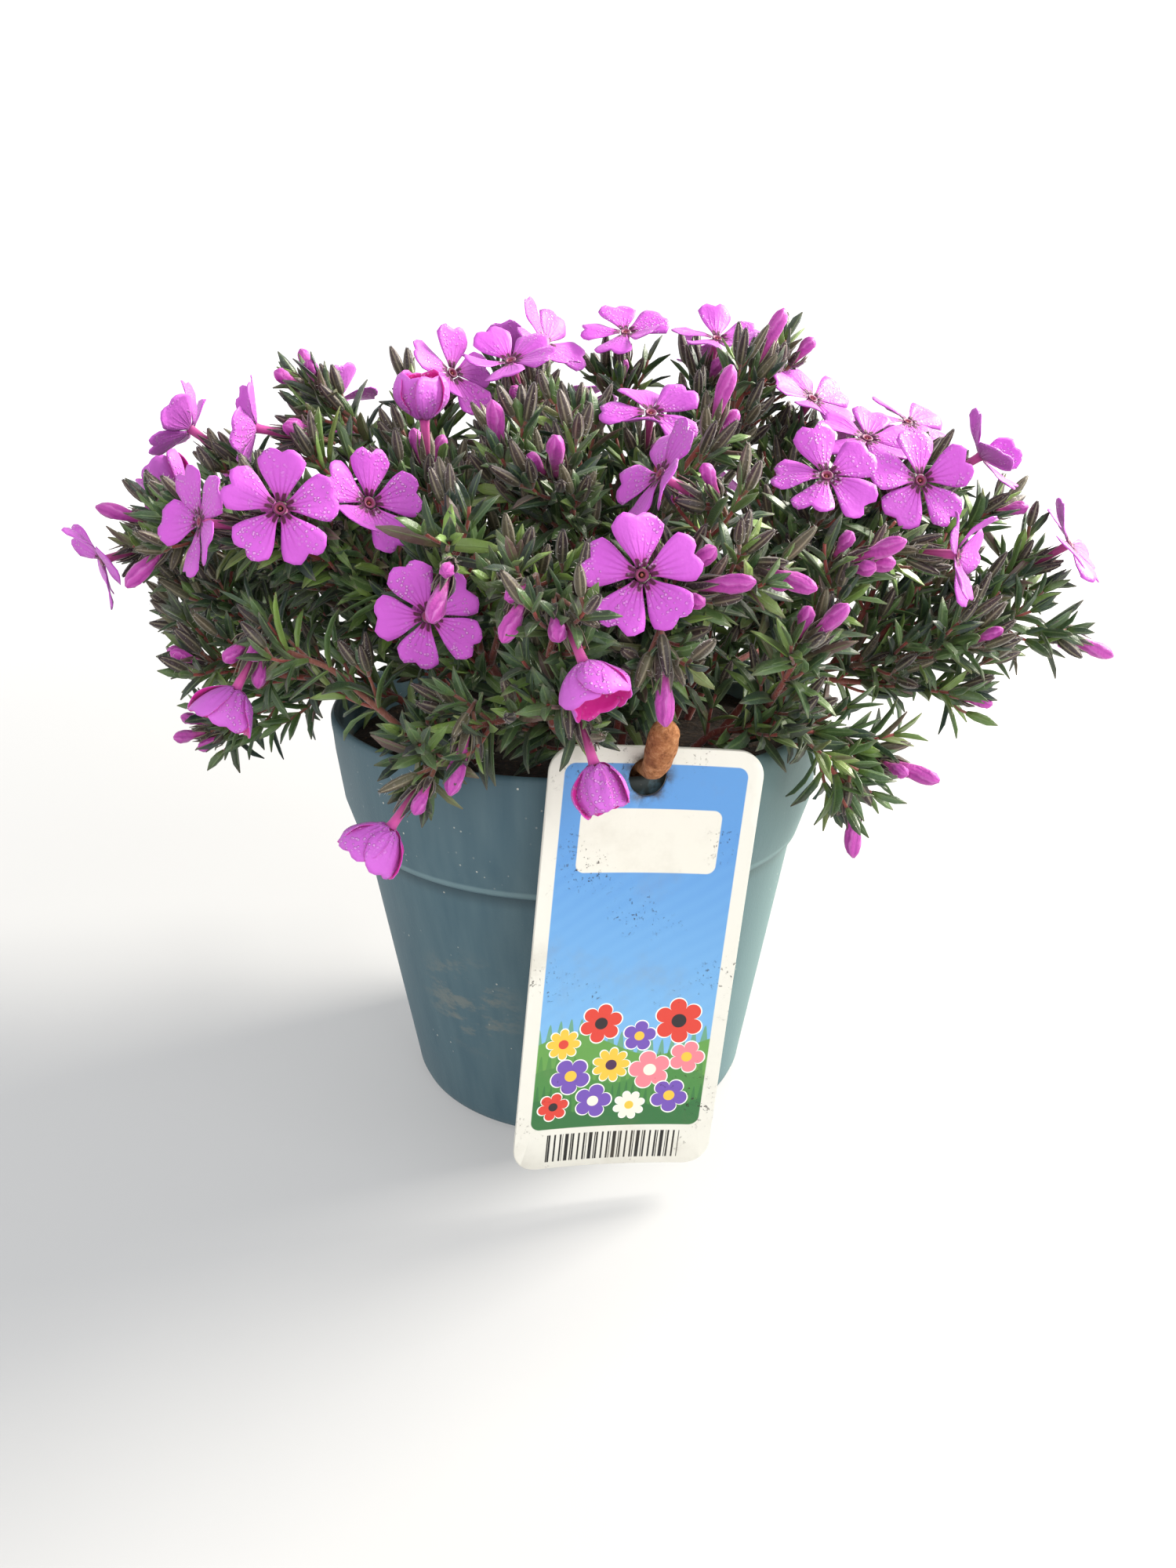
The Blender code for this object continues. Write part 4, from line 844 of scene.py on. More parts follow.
def side_shoot(rng, growth, foot, axis, out, length, leaf_length):
    """A short leafy side shoot. It leaves the stem at an angle, bends up, and holds leaf pairs to its tip."""
    start = turned(axis, out, rng.uniform(0.55, 0.95))
    up = unit(start + 0.55 * axis + np.array((0.0, 0.0, 0.25)))
    path = bezier(foot, foot + start * length * 0.4, foot + start * length * 0.6 + up * length * 0.15,
                  foot + start * length * 0.45 + up * length * 0.55, 7)
    if not growth.fits(path[2:]):
        return
    growth.twig(path, 0.5, 0.38, rng.random() * 0.5 + 0.3)
    total = lengths_along(path)[-1]
    pairs = max(2, int(round((total - 2.0) / 3.0)))
    stops = np.linspace(0.35 * total, total, pairs)
    turn = rng.uniform(0, 3)
    for i, (centre, tangent, side, other) in enumerate(frames_along(path, stops)):
        near_tip = i / (pairs - 1)
        way = turned(side, other, turn + i * math.pi / 2 + rng.uniform(-0.2, 0.2))
        leaf_pair(rng, growth, centre, tangent, way, leaf_length * (1.0 - 0.28 * near_tip),
                  0.75 - 0.5 * near_tip, 1.15 - 0.75 * near_tip, 0.4)
    if path[-1][2] > SHOOT_BUDS_FROM and rng.random() < 0.5:
        bud_cluster(rng, growth, path, rng.choice((1, 2, 3)))


def tip_cluster(rng, growth, path, kind):
    """The crowded end of a branch: pairs of ever shorter and steeper leaves round the last node."""
    total = lengths_along(path)[-1]
    pairs = 5 if kind == "leaf" else 2
    stops = [total - 0.6 - 2.2 * i for i in range(pairs)][::-1]
    if kind != "leaf":
        stops = [stop - 3.0 for stop in stops]
    turn = rng.uniform(0, 3)
    for i, (centre, tangent, side, other) in enumerate(frames_along(path, stops)):
        near_tip = i / (pairs - 1)
        way = turned(side, other, turn + i * math.pi / 2 + rng.uniform(-0.15, 0.15))
        leaf_pair(rng, growth, centre, tangent, way, TIP_LEAF_LENGTH - 4.0 * near_tip,
                  0.72 - 0.42 * near_tip, 1.0 - 0.7 * near_tip, 0.5)


def leafy_branch(rng, growth, path, first):
    """A branch's leaf nodes, about 6 mm apart, each with two long leaves and often a side shoot or two."""
    total = lengths_along(path)[-1]
    stops, at = [], total - rng.uniform(6.0, 8.0)
    while at > first:
        stops.append(at)
        at -= rng.uniform(4.8, 7.4)
    turn = rng.uniform(0, 3)
    for i, (centre, tangent, side, other) in enumerate(frames_along(path, stops[::-1])):
        way = turned(side, other, turn + i * math.pi / 2 + rng.uniform(-0.25, 0.25))
        age = 1 - (i + 1) / (len(stops) + 1)
        leaf_pair(rng, growth, centre, tangent, way, LEAF_LENGTH, 0.8 + 0.25 * age, 1.25 + 0.5 * age, 0.7)
        for shoot_way in (way, -way):
            if rng.random() < 0.84:
                length = rng.uniform(7.0, 14.0)
                side_shoot(rng, growth, centre, tangent, shoot_way, length, SHOOT_LEAF_LENGTH)
        if centre[2] > EXTRA_SHOOTS_FROM and rng.random() < 0.3:
            shoot_way = turned(way, np.cross(tangent, way), rng.choice((1.57, -1.57)))
            length = rng.uniform(9.0, 15.0)
            side_shoot(rng, growth, centre, tangent, shoot_way, length, SHOOT_LEAF_LENGTH)


def companion_buds(rng, growth, tip):
    """Dark buds, and some pink ones, on short stalks round the end of a branch."""
    end, aim = tip["end"], tip["aim"]
    side, other = axes_across(aim)
    count = {"bloom": 3, "bud": 3, "leaf": 4 if rng.random() < 0.85 else 0}[tip["kind"]]
    start = rng.uniform(0, 6)
    for k in range(count):
        way = turned(side, other, start + 2 * math.pi * k / count + rng.uniform(-0.4, 0.4))
        bud_aim = unit(turned(aim, way, rng.uniform(0.25, 0.55)))
        back = rng.uniform(2.0, 6.0)
        foot = end - aim * back + way * 0.5 + bud_aim * rng.uniform(2.5, 4.0)
        long = rng.uniform(7.0, 9.0)
        if growth.fits(np.array([foot, foot + bud_aim * long])):
            stalk = np.array([end - aim * (back + 1.0), foot - bud_aim, foot + bud_aim])
            growth.twig(stalk, 0.45, 0.55, 0.8)
            if rng.random() < 0.3:
                pink_bud(rng, growth, foot, bud_aim, long + 0.6, rng.uniform(1.4, 1.8))
            else:
                dark_bud(rng, growth, foot, bud_aim, long)


def grow_spray(rng, spray, blooms):
    """One spray: its main stem, and on each branch leaves, side shoots, buds and the calyx under a bloom."""
    growth = Growth(lambda points: bool(np.all(standing_clear(points, blooms, *SHOOT_GAPS))))
    stem = spaced_to(spray["stem"], STEM_RINGS, 2)
    growth.stem(stem, 1.15, 0.9, 0.5)
    leafy_branch(rng, growth, stem, ROOT_DEPTH + 12.0)
    for branch in spray["branches"]:
        path, tip = spaced_to(branch["path"], STEM_RINGS, 2), branch["tip"]
        growth.stem(path, 0.85, 0.62, rng.random())
        leafy_branch(rng, growth, path, 5.0)
        tip_cluster(rng, growth, path, tip["kind"])
        aim = tip["aim"]
        if tip["kind"] == "bloom":
            seat = blooms[tip["bloom"]]["centre"] - aim * (TUBE_LENGTH + 0.8)
            calyx(rng, growth, seat, aim, 8.5, 1.25, 0.1, rng.random())
        elif tip["kind"] == "bud":
            pink_bud(rng, growth, tip["end"], aim, BUD_LENGTH, 1.9)
        companion_buds(rng, growth, tip)
    return growth


# What leaves keep clear of.


def outside_pot(points):
    """False where a point lies in the pot's wall, in the soil, or below the rim's inside."""
    reach = np.hypot(points[..., 0], points[..., 1])
    over_soil = (reach < RIM_RADIUS - 4.5) & (points[..., 2] > SOIL_LEVEL + 1.0)
    return (reach > RIM_RADIUS + 0.8) | (points[..., 2] > POT_HEIGHT + 0.8) | over_soil


def clear_of_label(points):
    """False where a point lies within the label card or close to its faces."""
    top, right, below, front = label_axes()
    local = points - top
    across, down, forward = local @ right, local @ below, local @ front
    curl = LABEL_CURL * (across / (LABEL_WIDTH / 2)) ** 2
    inside = (np.abs(across) < LABEL_WIDTH / 2 + 1) & (down > -1) & (down < LABEL_LENGTH + 1)
    return ~(inside & (np.abs(forward - curl) < 1.6))


def clear_of_blooms(points, blooms, before, behind):
    """False where a point lies within a bloom's petals or close before its face."""
    clear = np.ones(points.shape[:-1], bool)
    for bloom in blooms:
        local = points - bloom["centre"]
        ahead = local @ bloom["facing"]
        reach = np.linalg.norm(local - ahead[..., None] * bloom["facing"], axis=-1)
        if bloom["open"] > CUP_BELOW:
            clear &= ~((reach < OPEN_REACH) & (ahead > -behind) & (ahead < before))
        else:
            clear &= ~((reach < CUP_REACH) & (ahead > -CUP_BEHIND) & (ahead < CUP_BEFORE))
    return clear


def standing_clear(points, blooms, before, behind):
    """False where a point meets the pot, the soil, the label or a bloom, or leaves the solids' box."""
    low, high = np.array(CAD_BOX) / MM
    margin = (high - low) * BOX_MARGIN
    inside = np.all((points > low - margin) & (points < high + margin), axis=-1)
    clear = outside_pot(points) & clear_of_label(points) & clear_of_blooms(points, blooms, before, behind)
    return inside & clear


# Petals.


def petal(bloom, k, rng):
    """One petal, a surface of two parameters: u runs from the throat to the tip and v from edge to edge. The
    midline turns evenly from one angle to another, as in petal_line. The width grows from a narrow claw to
    its widest at three quarters. Each column ends at its own length, so that the tip has two lobes and a
    notch. In a cup the petals wrap round the bloom's axis."""
    u, v = np.linspace(0, 1, PETAL_ROWS)[:, None], np.linspace(1, -1, PETAL_COLUMNS)[None, :]
    cup = bloom["open"] < CUP_BELOW
    notch = rng.uniform(0.04, 0.09) if cup else rng.uniform(0.08, 0.17)
    share = 1.0 - notch * np.exp(-((v - rng.uniform(-0.1, 0.1)) / 0.24) ** 2) - 0.26 * np.abs(v) ** 3.2
    t = u * share
    bent = 0.0 if cup or rng.random() < 0.82 else -0.3
    openness = bloom["open"] + bent + (rng.uniform(-0.16, -0.08) if cup else rng.uniform(-0.17, 0.1))
    openness = min(1.1, max(0.18, openness))
    reach, advance = petal_line(openness, t)
    width = (5.6 if cup else 5.0) * rng.uniform(0.93, 1.07)
    spread_out = np.clip(t / (0.6 if cup else 0.8), 0, 1)
    half = width * (0.2 + 0.8 * np.sin(np.pi / 2 * spread_out) ** (1.1 if cup else 1.4))
    s = v * half
    first, last = petal_slopes(openness)
    slope = first * (1 - t) + last * t
    tilt, wave, phase = rng.uniform(0.02, 0.26), rng.uniform(0.3, 0.9), rng.uniform(0, 6)
    lift = tilt * s + wave * t * np.sin(2.6 * v + phase) + 0.35 * t * np.sin(7 * u + phase) * np.abs(v)
    lift = lift - 0.05 * s**2 * (1.2 - bloom["open"])
    reach = reach - np.cos(slope) * lift
    advance = advance + np.sin(slope) * lift
    angle = petal_angle(bloom, k) + rng.uniform(-0.06, 0.06)
    wrap = 0.92 if cup else (1.0 - bloom["open"]) * 0.9
    turn = angle + wrap * s / np.maximum(reach, 3.2)
    flat = (1.0 - wrap) * s
    contort = wrap * 0.7 * v
    across, along, facing = bloom_frame(bloom)
    out = np.cos(turn)[..., None] * across + np.sin(turn)[..., None] * along
    side = -np.sin(turn)[..., None] * across + np.cos(turn)[..., None] * along
    top = bloom["centre"] + out * (reach + contort)[..., None] + side * flat[..., None]
    top = top + facing * advance[..., None]
    normal = lengthened(np.cross(np.gradient(top, axis=1), np.gradient(top, axis=0)))
    back = top - 0.34 * normal * (1 - 0.55 * np.abs(v) ** 4)[..., None]
    rings = np.concatenate((top, back[:, ::-1]), axis=1)[None]
    along_mark = np.concatenate((t, t[:, ::-1]), axis=1)[None]
    v = np.broadcast_to(v, t.shape)
    across_mark = np.concatenate((v, v[:, ::-1]), axis=1)[None]
    back_mark = np.concatenate((np.zeros_like(t), np.ones_like(t)), axis=1)[None]
    return rings, along_mark, across_mark, back_mark


def lathed(centre, facing, marks, sides):
    """A round body on an axis from (advance, radius) marks, as rings for loft."""
    side, other = axes_across(facing)
    angles = circle(sides)
    ways = np.cos(angles)[:, None] * side + np.sin(angles)[:, None] * other
    advance, radius = np.array(marks).T
    return (centre + advance[:, None, None] * facing + radius[:, None, None] * ways[None])[None]


def bloom_mass(bloom, rng):
    """Five petals, the tube behind them and the small ring of anthers in the throat."""
    mass = Mass("along", "across", "tone", "back", "cup")
    for k in range(PETALS):
        rings, along, across, back = petal(bloom, k, rng)
        mass.add(*loft(rings, "strip"), 0, along=spread(along, "strip"), across=spread(across, "strip"),
                 back=spread(back, "strip"), tone=rng.random(), cup=float(bloom["open"] < CUP_BELOW))
    rings = lathed(bloom["centre"], bloom["facing"], TUBE_MARKS, TUBE_SIDES)
    far = np.broadcast_to(np.linspace(0, 1, len(TUBE_MARKS))[None, :, None], rings.shape[:3])
    mass.add(*loft(rings), 1, along=spread(far), tone=0.5)
    mass.add(*loft(lathed(bloom["centre"], bloom["facing"], ANTHER_MARKS, ANTHER_SIDES)), 2, tone=0.5)
    return mass


def axes_round(aim):
    """Two unit vectors at right angles to each of an array of directions and to each other."""
    side = lengthened(np.cross(aim, OFF_AXIS))
    return side, np.cross(aim, side)


def furled(foot, aim, length, radius, turn):
    """Furled buds: the radius swells and closes again along the bud, and five ridges wind round it. Arrays of
    buds go in, and rings (buds, rows, sides, 3) and how far across its ridge each point lies come out."""
    t = np.linspace(0, 1, BUD_ROWS)
    swell = np.interp(t, (0, 0.18, 0.42, 0.66, 0.84, 0.95, 1.0), (0.45, 0.5, 0.76, 1.0, 0.92, 0.62, 0.2))
    side, other = axes_round(aim)
    angles = circle(BUD_SIDES)
    winding = (angles[None, None, :] * 5 + turn[:, None, None] - 7.0 * t[None, :, None]) / (2 * np.pi)
    ridge = 1.0 + 0.3 * ((winding % 1.0) - 0.5) * np.clip(t * 2.2 - 0.4, 0, 1)[None, :, None]
    size = radius[:, None, None] * swell[None, :, None] * ridge
    angles = angles[None, None, :, None]
    ways = np.cos(angles) * side[:, None, None] + np.sin(angles) * other[:, None, None]
    along = (t[None, :] * length[:, None])[:, :, None, None] * aim[:, None, None]
    return foot[:, None, None] + along + size[..., None] * ways, winding % 1.0


def closed_buds(foot, aim, length, radius, turn):
    """Closed dark buds: spindles with five ribs, whose points part a little at the tip. Rings and how far up
    its rib each point lies come out."""
    t = np.array((0.0, 0.12, 0.35, 0.6, 0.8, 0.93, 1.0))
    swell = np.array((0.4, 0.85, 1.0, 0.92, 0.66, 0.36, 0.16))
    side, other = axes_round(aim)
    angles = circle(2 * SEPALS)[None, :] + turn[:, None]
    rib = np.broadcast_to(np.array((1.0, 0.0) * SEPALS), (len(foot), len(t), 2 * SEPALS))
    size = radius[:, None, None] * swell[None, :, None] * (0.9 + 0.2 * rib)
    ways = np.cos(angles)[..., None] * side[:, None] + np.sin(angles)[..., None] * other[:, None]
    reach = t[None, :, None] * length[:, None, None] * (1 - 0.1 * (1 - rib) * (t[None, :, None] > 0.95))
    return foot[:, None, None] + reach[..., None] * aim[:, None, None] + size[..., None] * ways[:, None], rib


# Masses of the sprays.


def hairy(mass, rng, roots, ways):
    """Short pale hairs: slim spikes of three sides that stand on the roots and lean along the ways."""
    count = len(roots)
    aim = lengthened(lengthened(ways) + rng.normal(0, 0.45, (count, 3)))
    side = lengthened(np.cross(aim, rng.normal(0, 1, (count, 3))))
    other = np.cross(aim, side)
    roots = roots + rng.normal(0, 0.25, (count, 3))
    length = rng.uniform(0.6, 1.2, (count, 1))
    feet = [roots + HAIR_RADIUS * turned(side, other, turn) for turn in circle(3)]
    points = np.stack((*feet, roots + aim * length), axis=1).reshape(-1, 3)
    tris = np.array(((0, 2, 1), (0, 1, 3), (1, 2, 3), (2, 0, 3)))[None] + 4 * np.arange(count)[:, None, None]
    mass.add(points, NO_QUADS, tris.reshape(-1, 3), 3, tone=np.repeat(rng.random(count), 4))


def blade_rings(table, kind):
    """Blades of one kind, from rows of foot, axis, out, length, width, angles, twist and tone."""
    length, width, first, last, twist, tone = table[:, 9:].T
    rings = blades(table[:, :3], table[:, 3:6], table[:, 6:9], length, width, first, last, twist, *kind)
    return rings, tone


def add_blades(mass, rings, rows, tone, paint):
    """Adds blades to a mass, with the numbers along and across them."""
    along, across = blade_marks(len(rings), rows)
    mass.add(*loft(rings, "strip"), paint, along=spread(along, "strip"), across=spread(across, "strip"),
             tone=np.repeat(tone, len(rows) * BLADE_POINTS))


def add_stems(mass, growth, rng):
    """Adds the main stem and the branches with their hairs, and then the twigs."""
    for path, radius, end_radius, tone in growth.stems:
        rings = tubes(path[None], np.linspace(radius, end_radius, len(path))[None], STEM_SIDES)
        outer = rings[0, 4:, ::3].reshape(-1, 3)
        hairy(mass, rng, outer, outer - np.repeat(path[4:], 3, axis=0))
        mass.add(*loft(rings), 1, tone=tone)
    if growth.twigs:
        paths = np.array([twig[0] for twig in growth.twigs])
        start, end = np.array([twig[1:3] for twig in growth.twigs]).T
        radii = start[:, None] + (end - start)[:, None] * np.linspace(0, 1, TWIG_RINGS)
        tone = np.repeat([twig[3] for twig in growth.twigs], TWIG_RINGS * TWIG_SIDES + 2)
        mass.add(*loft(tubes(paths, radii, TWIG_SIDES)), 1, tone=tone)


def add_foliage(mass, growth, blooms, rng):
    """Adds the leaves that stand clear of everything, and the sepals with the hairs on their backs."""
    for kind, long in ((LONG_LEAF, True), (SMALL_LEAF, False)):
        table = np.array([leaf for leaf in growth.leaves if (leaf[9] >= SMALL_LEAF_BELOW) == long])
        if len(table):
            rings, tone = blade_rings(table, kind)
            keep = np.all(standing_clear(rings[:, 1:], blooms, *LEAF_GAPS), axis=(1, 2))
            add_blades(mass, rings[keep], kind[0], tone[keep], 0)
    if growth.sepals:
        table = np.array(growth.sepals)
        rings, tone = blade_rings(table, SEPAL)
        ways = np.repeat(table[:, 6:9] + 0.5 * table[:, 3:6], 2, axis=0)
        hairy(mass, rng, rings[:, 1:3, 4].reshape(-1, 3), ways)
        add_blades(mass, rings, SEPAL[0], tone, 2)


def add_dark_buds(mass, growth, rng):
    """Adds the closed buds and their hairs."""
    if not growth.dark_buds:
        return
    table = np.array(growth.dark_buds)
    rings, rib = closed_buds(table[:, :3], table[:, 3:6], *table[:, 6:9].T)
    rows, sides = rings.shape[1:3]
    along = np.broadcast_to(np.linspace(0, 0.8, rows)[None, :, None], rings.shape[:3])
    tone = np.repeat(table[:, 9], rows * sides + 2)
    mass.add(*loft(rings), 2, along=spread(along), across=spread(1 - rib), tone=tone)
    roots, middles = rings[:, 1:6, ::4], rings[:, 1:6].mean(axis=2, keepdims=True)
    ways = roots - middles + 0.4 * table[:, None, None, 3:6]
    hairy(mass, rng, roots.reshape(-1, 3), ways.reshape(-1, 3))


def spray_masses(growth, blooms, rng):
    """Two meshes' worth: the green and brown parts of a spray, and its pink buds."""
    green = Mass("along", "across", "tone")
    add_stems(green, growth, rng)
    add_foliage(green, growth, blooms, rng)
    add_dark_buds(green, growth, rng)
    pink = Mass("along", "across", "tone")
    if growth.buds:
        table = np.array(growth.buds)
        rings, phase = furled(table[:, :3], table[:, 3:6], *table[:, 6:9].T)
        along = np.broadcast_to(np.linspace(0, 1, BUD_ROWS)[None, :, None], rings.shape[:3])
        tone = np.repeat(table[:, 9], BUD_ROWS * BUD_SIDES + 2)
        pink.add(*loft(rings), 0, along=spread(along), across=spread(phase), tone=tone)
    return green, pink


# The pot, the soil, the label and the peg.


def round_profile(marks, step):
    """A profile through (radius, height) marks, with a point about every step along it."""
    marks = np.array(marks, float)
    rows = [marks[:1]]
    for start, end in zip(marks[:-1], marks[1:]):
        count = max(1, round(np.linalg.norm(end - start) / step))
        rows.append(start + (end - start) * np.arange(1, count + 1)[:, None] / count)
    return np.concatenate(rows)


def turned_rings(profile, sides):
    """A profile of (radius, height) turned round the pot's axis, as rings for loft."""
    angles = circle(sides)
    ways = np.stack((np.cos(angles), np.sin(angles)), axis=-1)
    flat = profile[:, 0, None, None] * ways[None]
    height = np.broadcast_to(profile[:, 1, None, None], flat.shape[:2] + (1,))
    return np.concatenate((flat, height), axis=-1)[None]


def pot_marks():
    """Up the outside from under the foot, over the rolled rim, and down the inside to the floor."""
    foot, body, collar = BODY_FOOT_RADIUS, BODY_TOP_RADIUS, COLLAR_FOOT_RADIUS
    rim, top = RIM_RADIUS, POT_HEIGHT
    marks = [(0.01, 0.0), (foot - 4.4, 0.0), (foot - 2.4, 0.35), (foot - 0.9, 1.5), (foot - 0.1, 3.4)]
    marks += [(foot + 0.3, 6.0), (body, COLLAR_BOTTOM - 0.5), (body + 0.2, COLLAR_BOTTOM)]
    marks += [(collar - 0.7, COLLAR_BOTTOM + 0.1), (collar - 0.1, COLLAR_BOTTOM + 0.5)]
    marks += [(collar + 0.2, COLLAR_BOTTOM + 1.5), (62.9, 85.0), (64.45, 98.0), (64.75, 102.4), (rim, 104.4)]
    marks += [(rim, top - 1.1), (rim - 0.35, top - 0.3), (rim - 0.9, top), (rim - 1.6, top - 0.2)]
    marks += [(rim - 2.0, top - 0.8), (64.45 - WALL, 98.0), (62.9 - WALL, 85.0)]
    marks += [(body - WALL, COLLAR_BOTTOM - 1.0), (foot - WALL, 6.0)]
    return marks + [(foot - WALL - 3.0, FLOOR_THICKNESS), (0.01, FLOOR_THICKNESS)]


def plain_object(name, mesh, finishes):
    """An object at the origin that holds a mesh and its finishes."""
    for finish in finishes:
        mesh.materials.append(finish)
    made = bpy.data.objects.new(name, mesh)
    bpy.context.scene.collection.objects.link(made)
    return made


def placed(name, mass, finishes, slot, *nodes):
    """A finished piece that rides on the plant's one body and stands for the named nodes."""
    piece = plain_object(name, mass.mesh(name), finishes)
    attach(piece, "root")
    if nodes:
        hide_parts(*nodes)
    return piece


def single(rings):
    """A mass of one loft, closed at its ends."""
    mass = Mass()
    mass.add(*loft(rings))
    return mass


def drainage_cutters():
    """The boxes that cut the drainage notches, and the bars that cut the drain holes."""
    notches, drains = Mass(), Mass()
    length, width, height = NOTCH_SIZE
    for k in range(NOTCHES):
        out = heading(360 * (k + 0.5) / NOTCHES + 15, 0)
        path = np.array([out * (NOTCH_REACH - length / 2), out * (NOTCH_REACH + length / 2)])
        side = np.cross((0.0, 0.0, 1.0), out) * width / 2
        up = np.array((0.0, 0.0, height / 2))
        section = np.array((side - up, side + up, -side + up, -side - up))
        notches.add(*loft((path[:, None] + section[None])[None]))
        drain = np.array([out * DRAIN_REACH - (0, 0, 2), out * DRAIN_REACH + (0, 0, 7)])
        drains.add(*loft(tubes(drain[None], np.full((1, 2), DRAIN_RADIUS), 32)))
    return notches, drains


def soil_rings(rng):
    """The soil as one loft: its lumpy top from the middle out, its side, and its flat underside. Height over
    the top is a sum of seeded round bumps of three sizes."""
    wall = WALL + FIT_GAP
    edge = 64.0 - wall
    radii = np.linspace(0.4, edge - 0.6, SOIL_ROWS)
    angles = circle(SOIL_SIDES)
    x, y = radii[:, None] * np.cos(angles), radii[:, None] * np.sin(angles)
    height = np.full(x.shape, SOIL_LEVEL - 0.5)
    for count, size, rise in SOIL_BUMPS:
        for _ in range(count):
            reach, turn = edge * math.sqrt(rng.random()), rng.uniform(0, 6.283)
            far = (x - reach * math.cos(turn)) ** 2 + (y - reach * math.sin(turn)) ** 2
            height += rise * rng.uniform(-0.8, 1.0) * np.exp(-far / (size * rng.uniform(0.6, 1.2)) ** 2)
    height = np.clip(height, SOIL_LEVEL - 2.6, SOIL_LEVEL + 1.9)
    top = np.stack((x, y, height), axis=-1)
    floor = FLOOR_THICKNESS + FIT_GAP
    marks = ((edge, SOIL_LEVEL - 2.0), (62.4 - wall, 83.5), (BODY_TOP_RADIUS - wall, COLLAR_BOTTOM - 1.5),
             (BODY_FOOT_RADIUS - wall, 6.5), (BODY_FOOT_RADIUS - WALL - 3.6, floor), (0.4, floor))
    low = turned_rings(np.array(marks), SOIL_SIDES)[0]
    return np.concatenate((top, low))[::-1][None]


def label_rings():
    """The card as a surface of two parameters, in rings from its slot to its rounded outline and back on the
    other face. Each point lies on the line from the slot's edge to the outline's. The card's sides curl
    forward with the square of the distance from its middle line."""
    half, corner, length = LABEL_WIDTH / 2, LABEL_CORNER, LABEL_LENGTH
    arc = np.linspace(0, np.pi / 2, 12)
    outline = []
    for x, y, start in ((half - corner, corner, -1), (half - corner, length - corner, 0),
                        (corner - half, length - corner, 1), (corner - half, corner, 2)):
        turn = start * np.pi / 2 + arc
        outline.append(np.stack((x + corner * np.cos(turn), y + corner * np.sin(turn)), axis=-1))
    outline = np.concatenate(outline)
    outline = np.concatenate((outline, outline[:1]))
    travelled = lengths_along(outline)
    at = np.linspace(0, travelled[-1], LABEL_RAYS, endpoint=False)
    at = np.sort(np.concatenate((at, travelled[:-1])))
    outer = np.column_stack([np.interp(at, travelled, outline[:, i]) for i in range(2)])
    middle = np.array((slot_shift(), SLOT_TOP_EDGE + SLOT_HEIGHT / 2))
    angles = np.arctan2(*(outer - middle).T[::-1])
    inner = middle + np.column_stack((SLOT_WIDTH / 2 * np.cos(angles), SLOT_HEIGHT / 2 * np.sin(angles)))
    toward = lengthened(outer - middle)
    t = np.linspace(0, 1, LABEL_STEPS)[:, None, None]
    plane = inner[None] + (outer - inner)[None] * t
    thin = LABEL_THICKNESS / 2
    front = [(plane[0], thin - LABEL_BEVEL), (plane[0] + toward * 0.25, thin)]
    front += [(row, thin) for row in plane[1:-1]]
    front += [(plane[-1] - toward * LABEL_BEVEL, thin), (plane[-1], thin - LABEL_BEVEL)]
    rows = front + [(row, -level) for row, level in front[::-1]]
    flat = np.array([row for row, _ in rows])
    level = np.array([level for _, level in rows])[:, None]
    top, right, below, face = label_axes()
    curl = LABEL_CURL * (flat[..., 0] / half) ** 2
    points = top + right * flat[..., :1] + below * flat[..., 1:] + face * (level + curl)[..., None]
    back = np.broadcast_to(level < 0, flat.shape[:2])
    return points, flat, back


def label_mass():
    """The card's rings joined in a closed band round its slot."""
    points, flat, back = label_rings()
    rows, around, _ = points.shape
    k, row = np.arange(around), np.arange(rows)[:, None]
    after, here, below = (k + 1) % around, row * around, (row + 1) % rows * around
    quads = np.stack((here + k, here + after, below + after, below + k), axis=-1)
    mass = Mass("across", "down", "back")
    mass.add(points.reshape(-1, 3), quads.reshape(-1, 4), NO_TRIS, across=flat[..., 0].ravel(),
             down=flat[..., 1].ravel(), back=back.ravel().astype(float))
    return mass


def peg_rings():
    """The peg's path and radius, smoothed, with small knocks in its surface and a blunt round head."""
    marks = np.array(PEG_PATH)
    travelled = lengths_along(marks[:, :2])
    at = np.linspace(0, travelled[-1], PEG_ROWS)
    reach, height, radius = (np.interp(at, travelled, marks[:, i]) for i in range(3))
    for values in (reach, height, radius):
        for _ in range(6):
            values[1:-1] = (values[:-2] + 2 * values[1:-1] + values[2:]) / 4
    out = heading(PEG_BEARING, 0)
    path = out[None] * reach[:, None] + np.array((0.0, 0.0, 1.0)) * height[:, None]
    near_end = np.clip((travelled[-1] - at) / 2.6, 0, 1)
    radius = np.maximum(radius, 3.1 * (at > travelled[-1] - 3.0)) * np.sqrt(1 - (1 - near_end) ** 2 + 1e-4)
    rings = tubes(path[None], radius[None], PEG_SIDES)
    knocks = 1 + 0.035 * np.sin(at * 1.3)[:, None] * np.sin(3 * circle(PEG_SIDES))
    return path[None, :, None] + (rings - path[None, :, None]) * knocks[None, ..., None]


# Finishes.


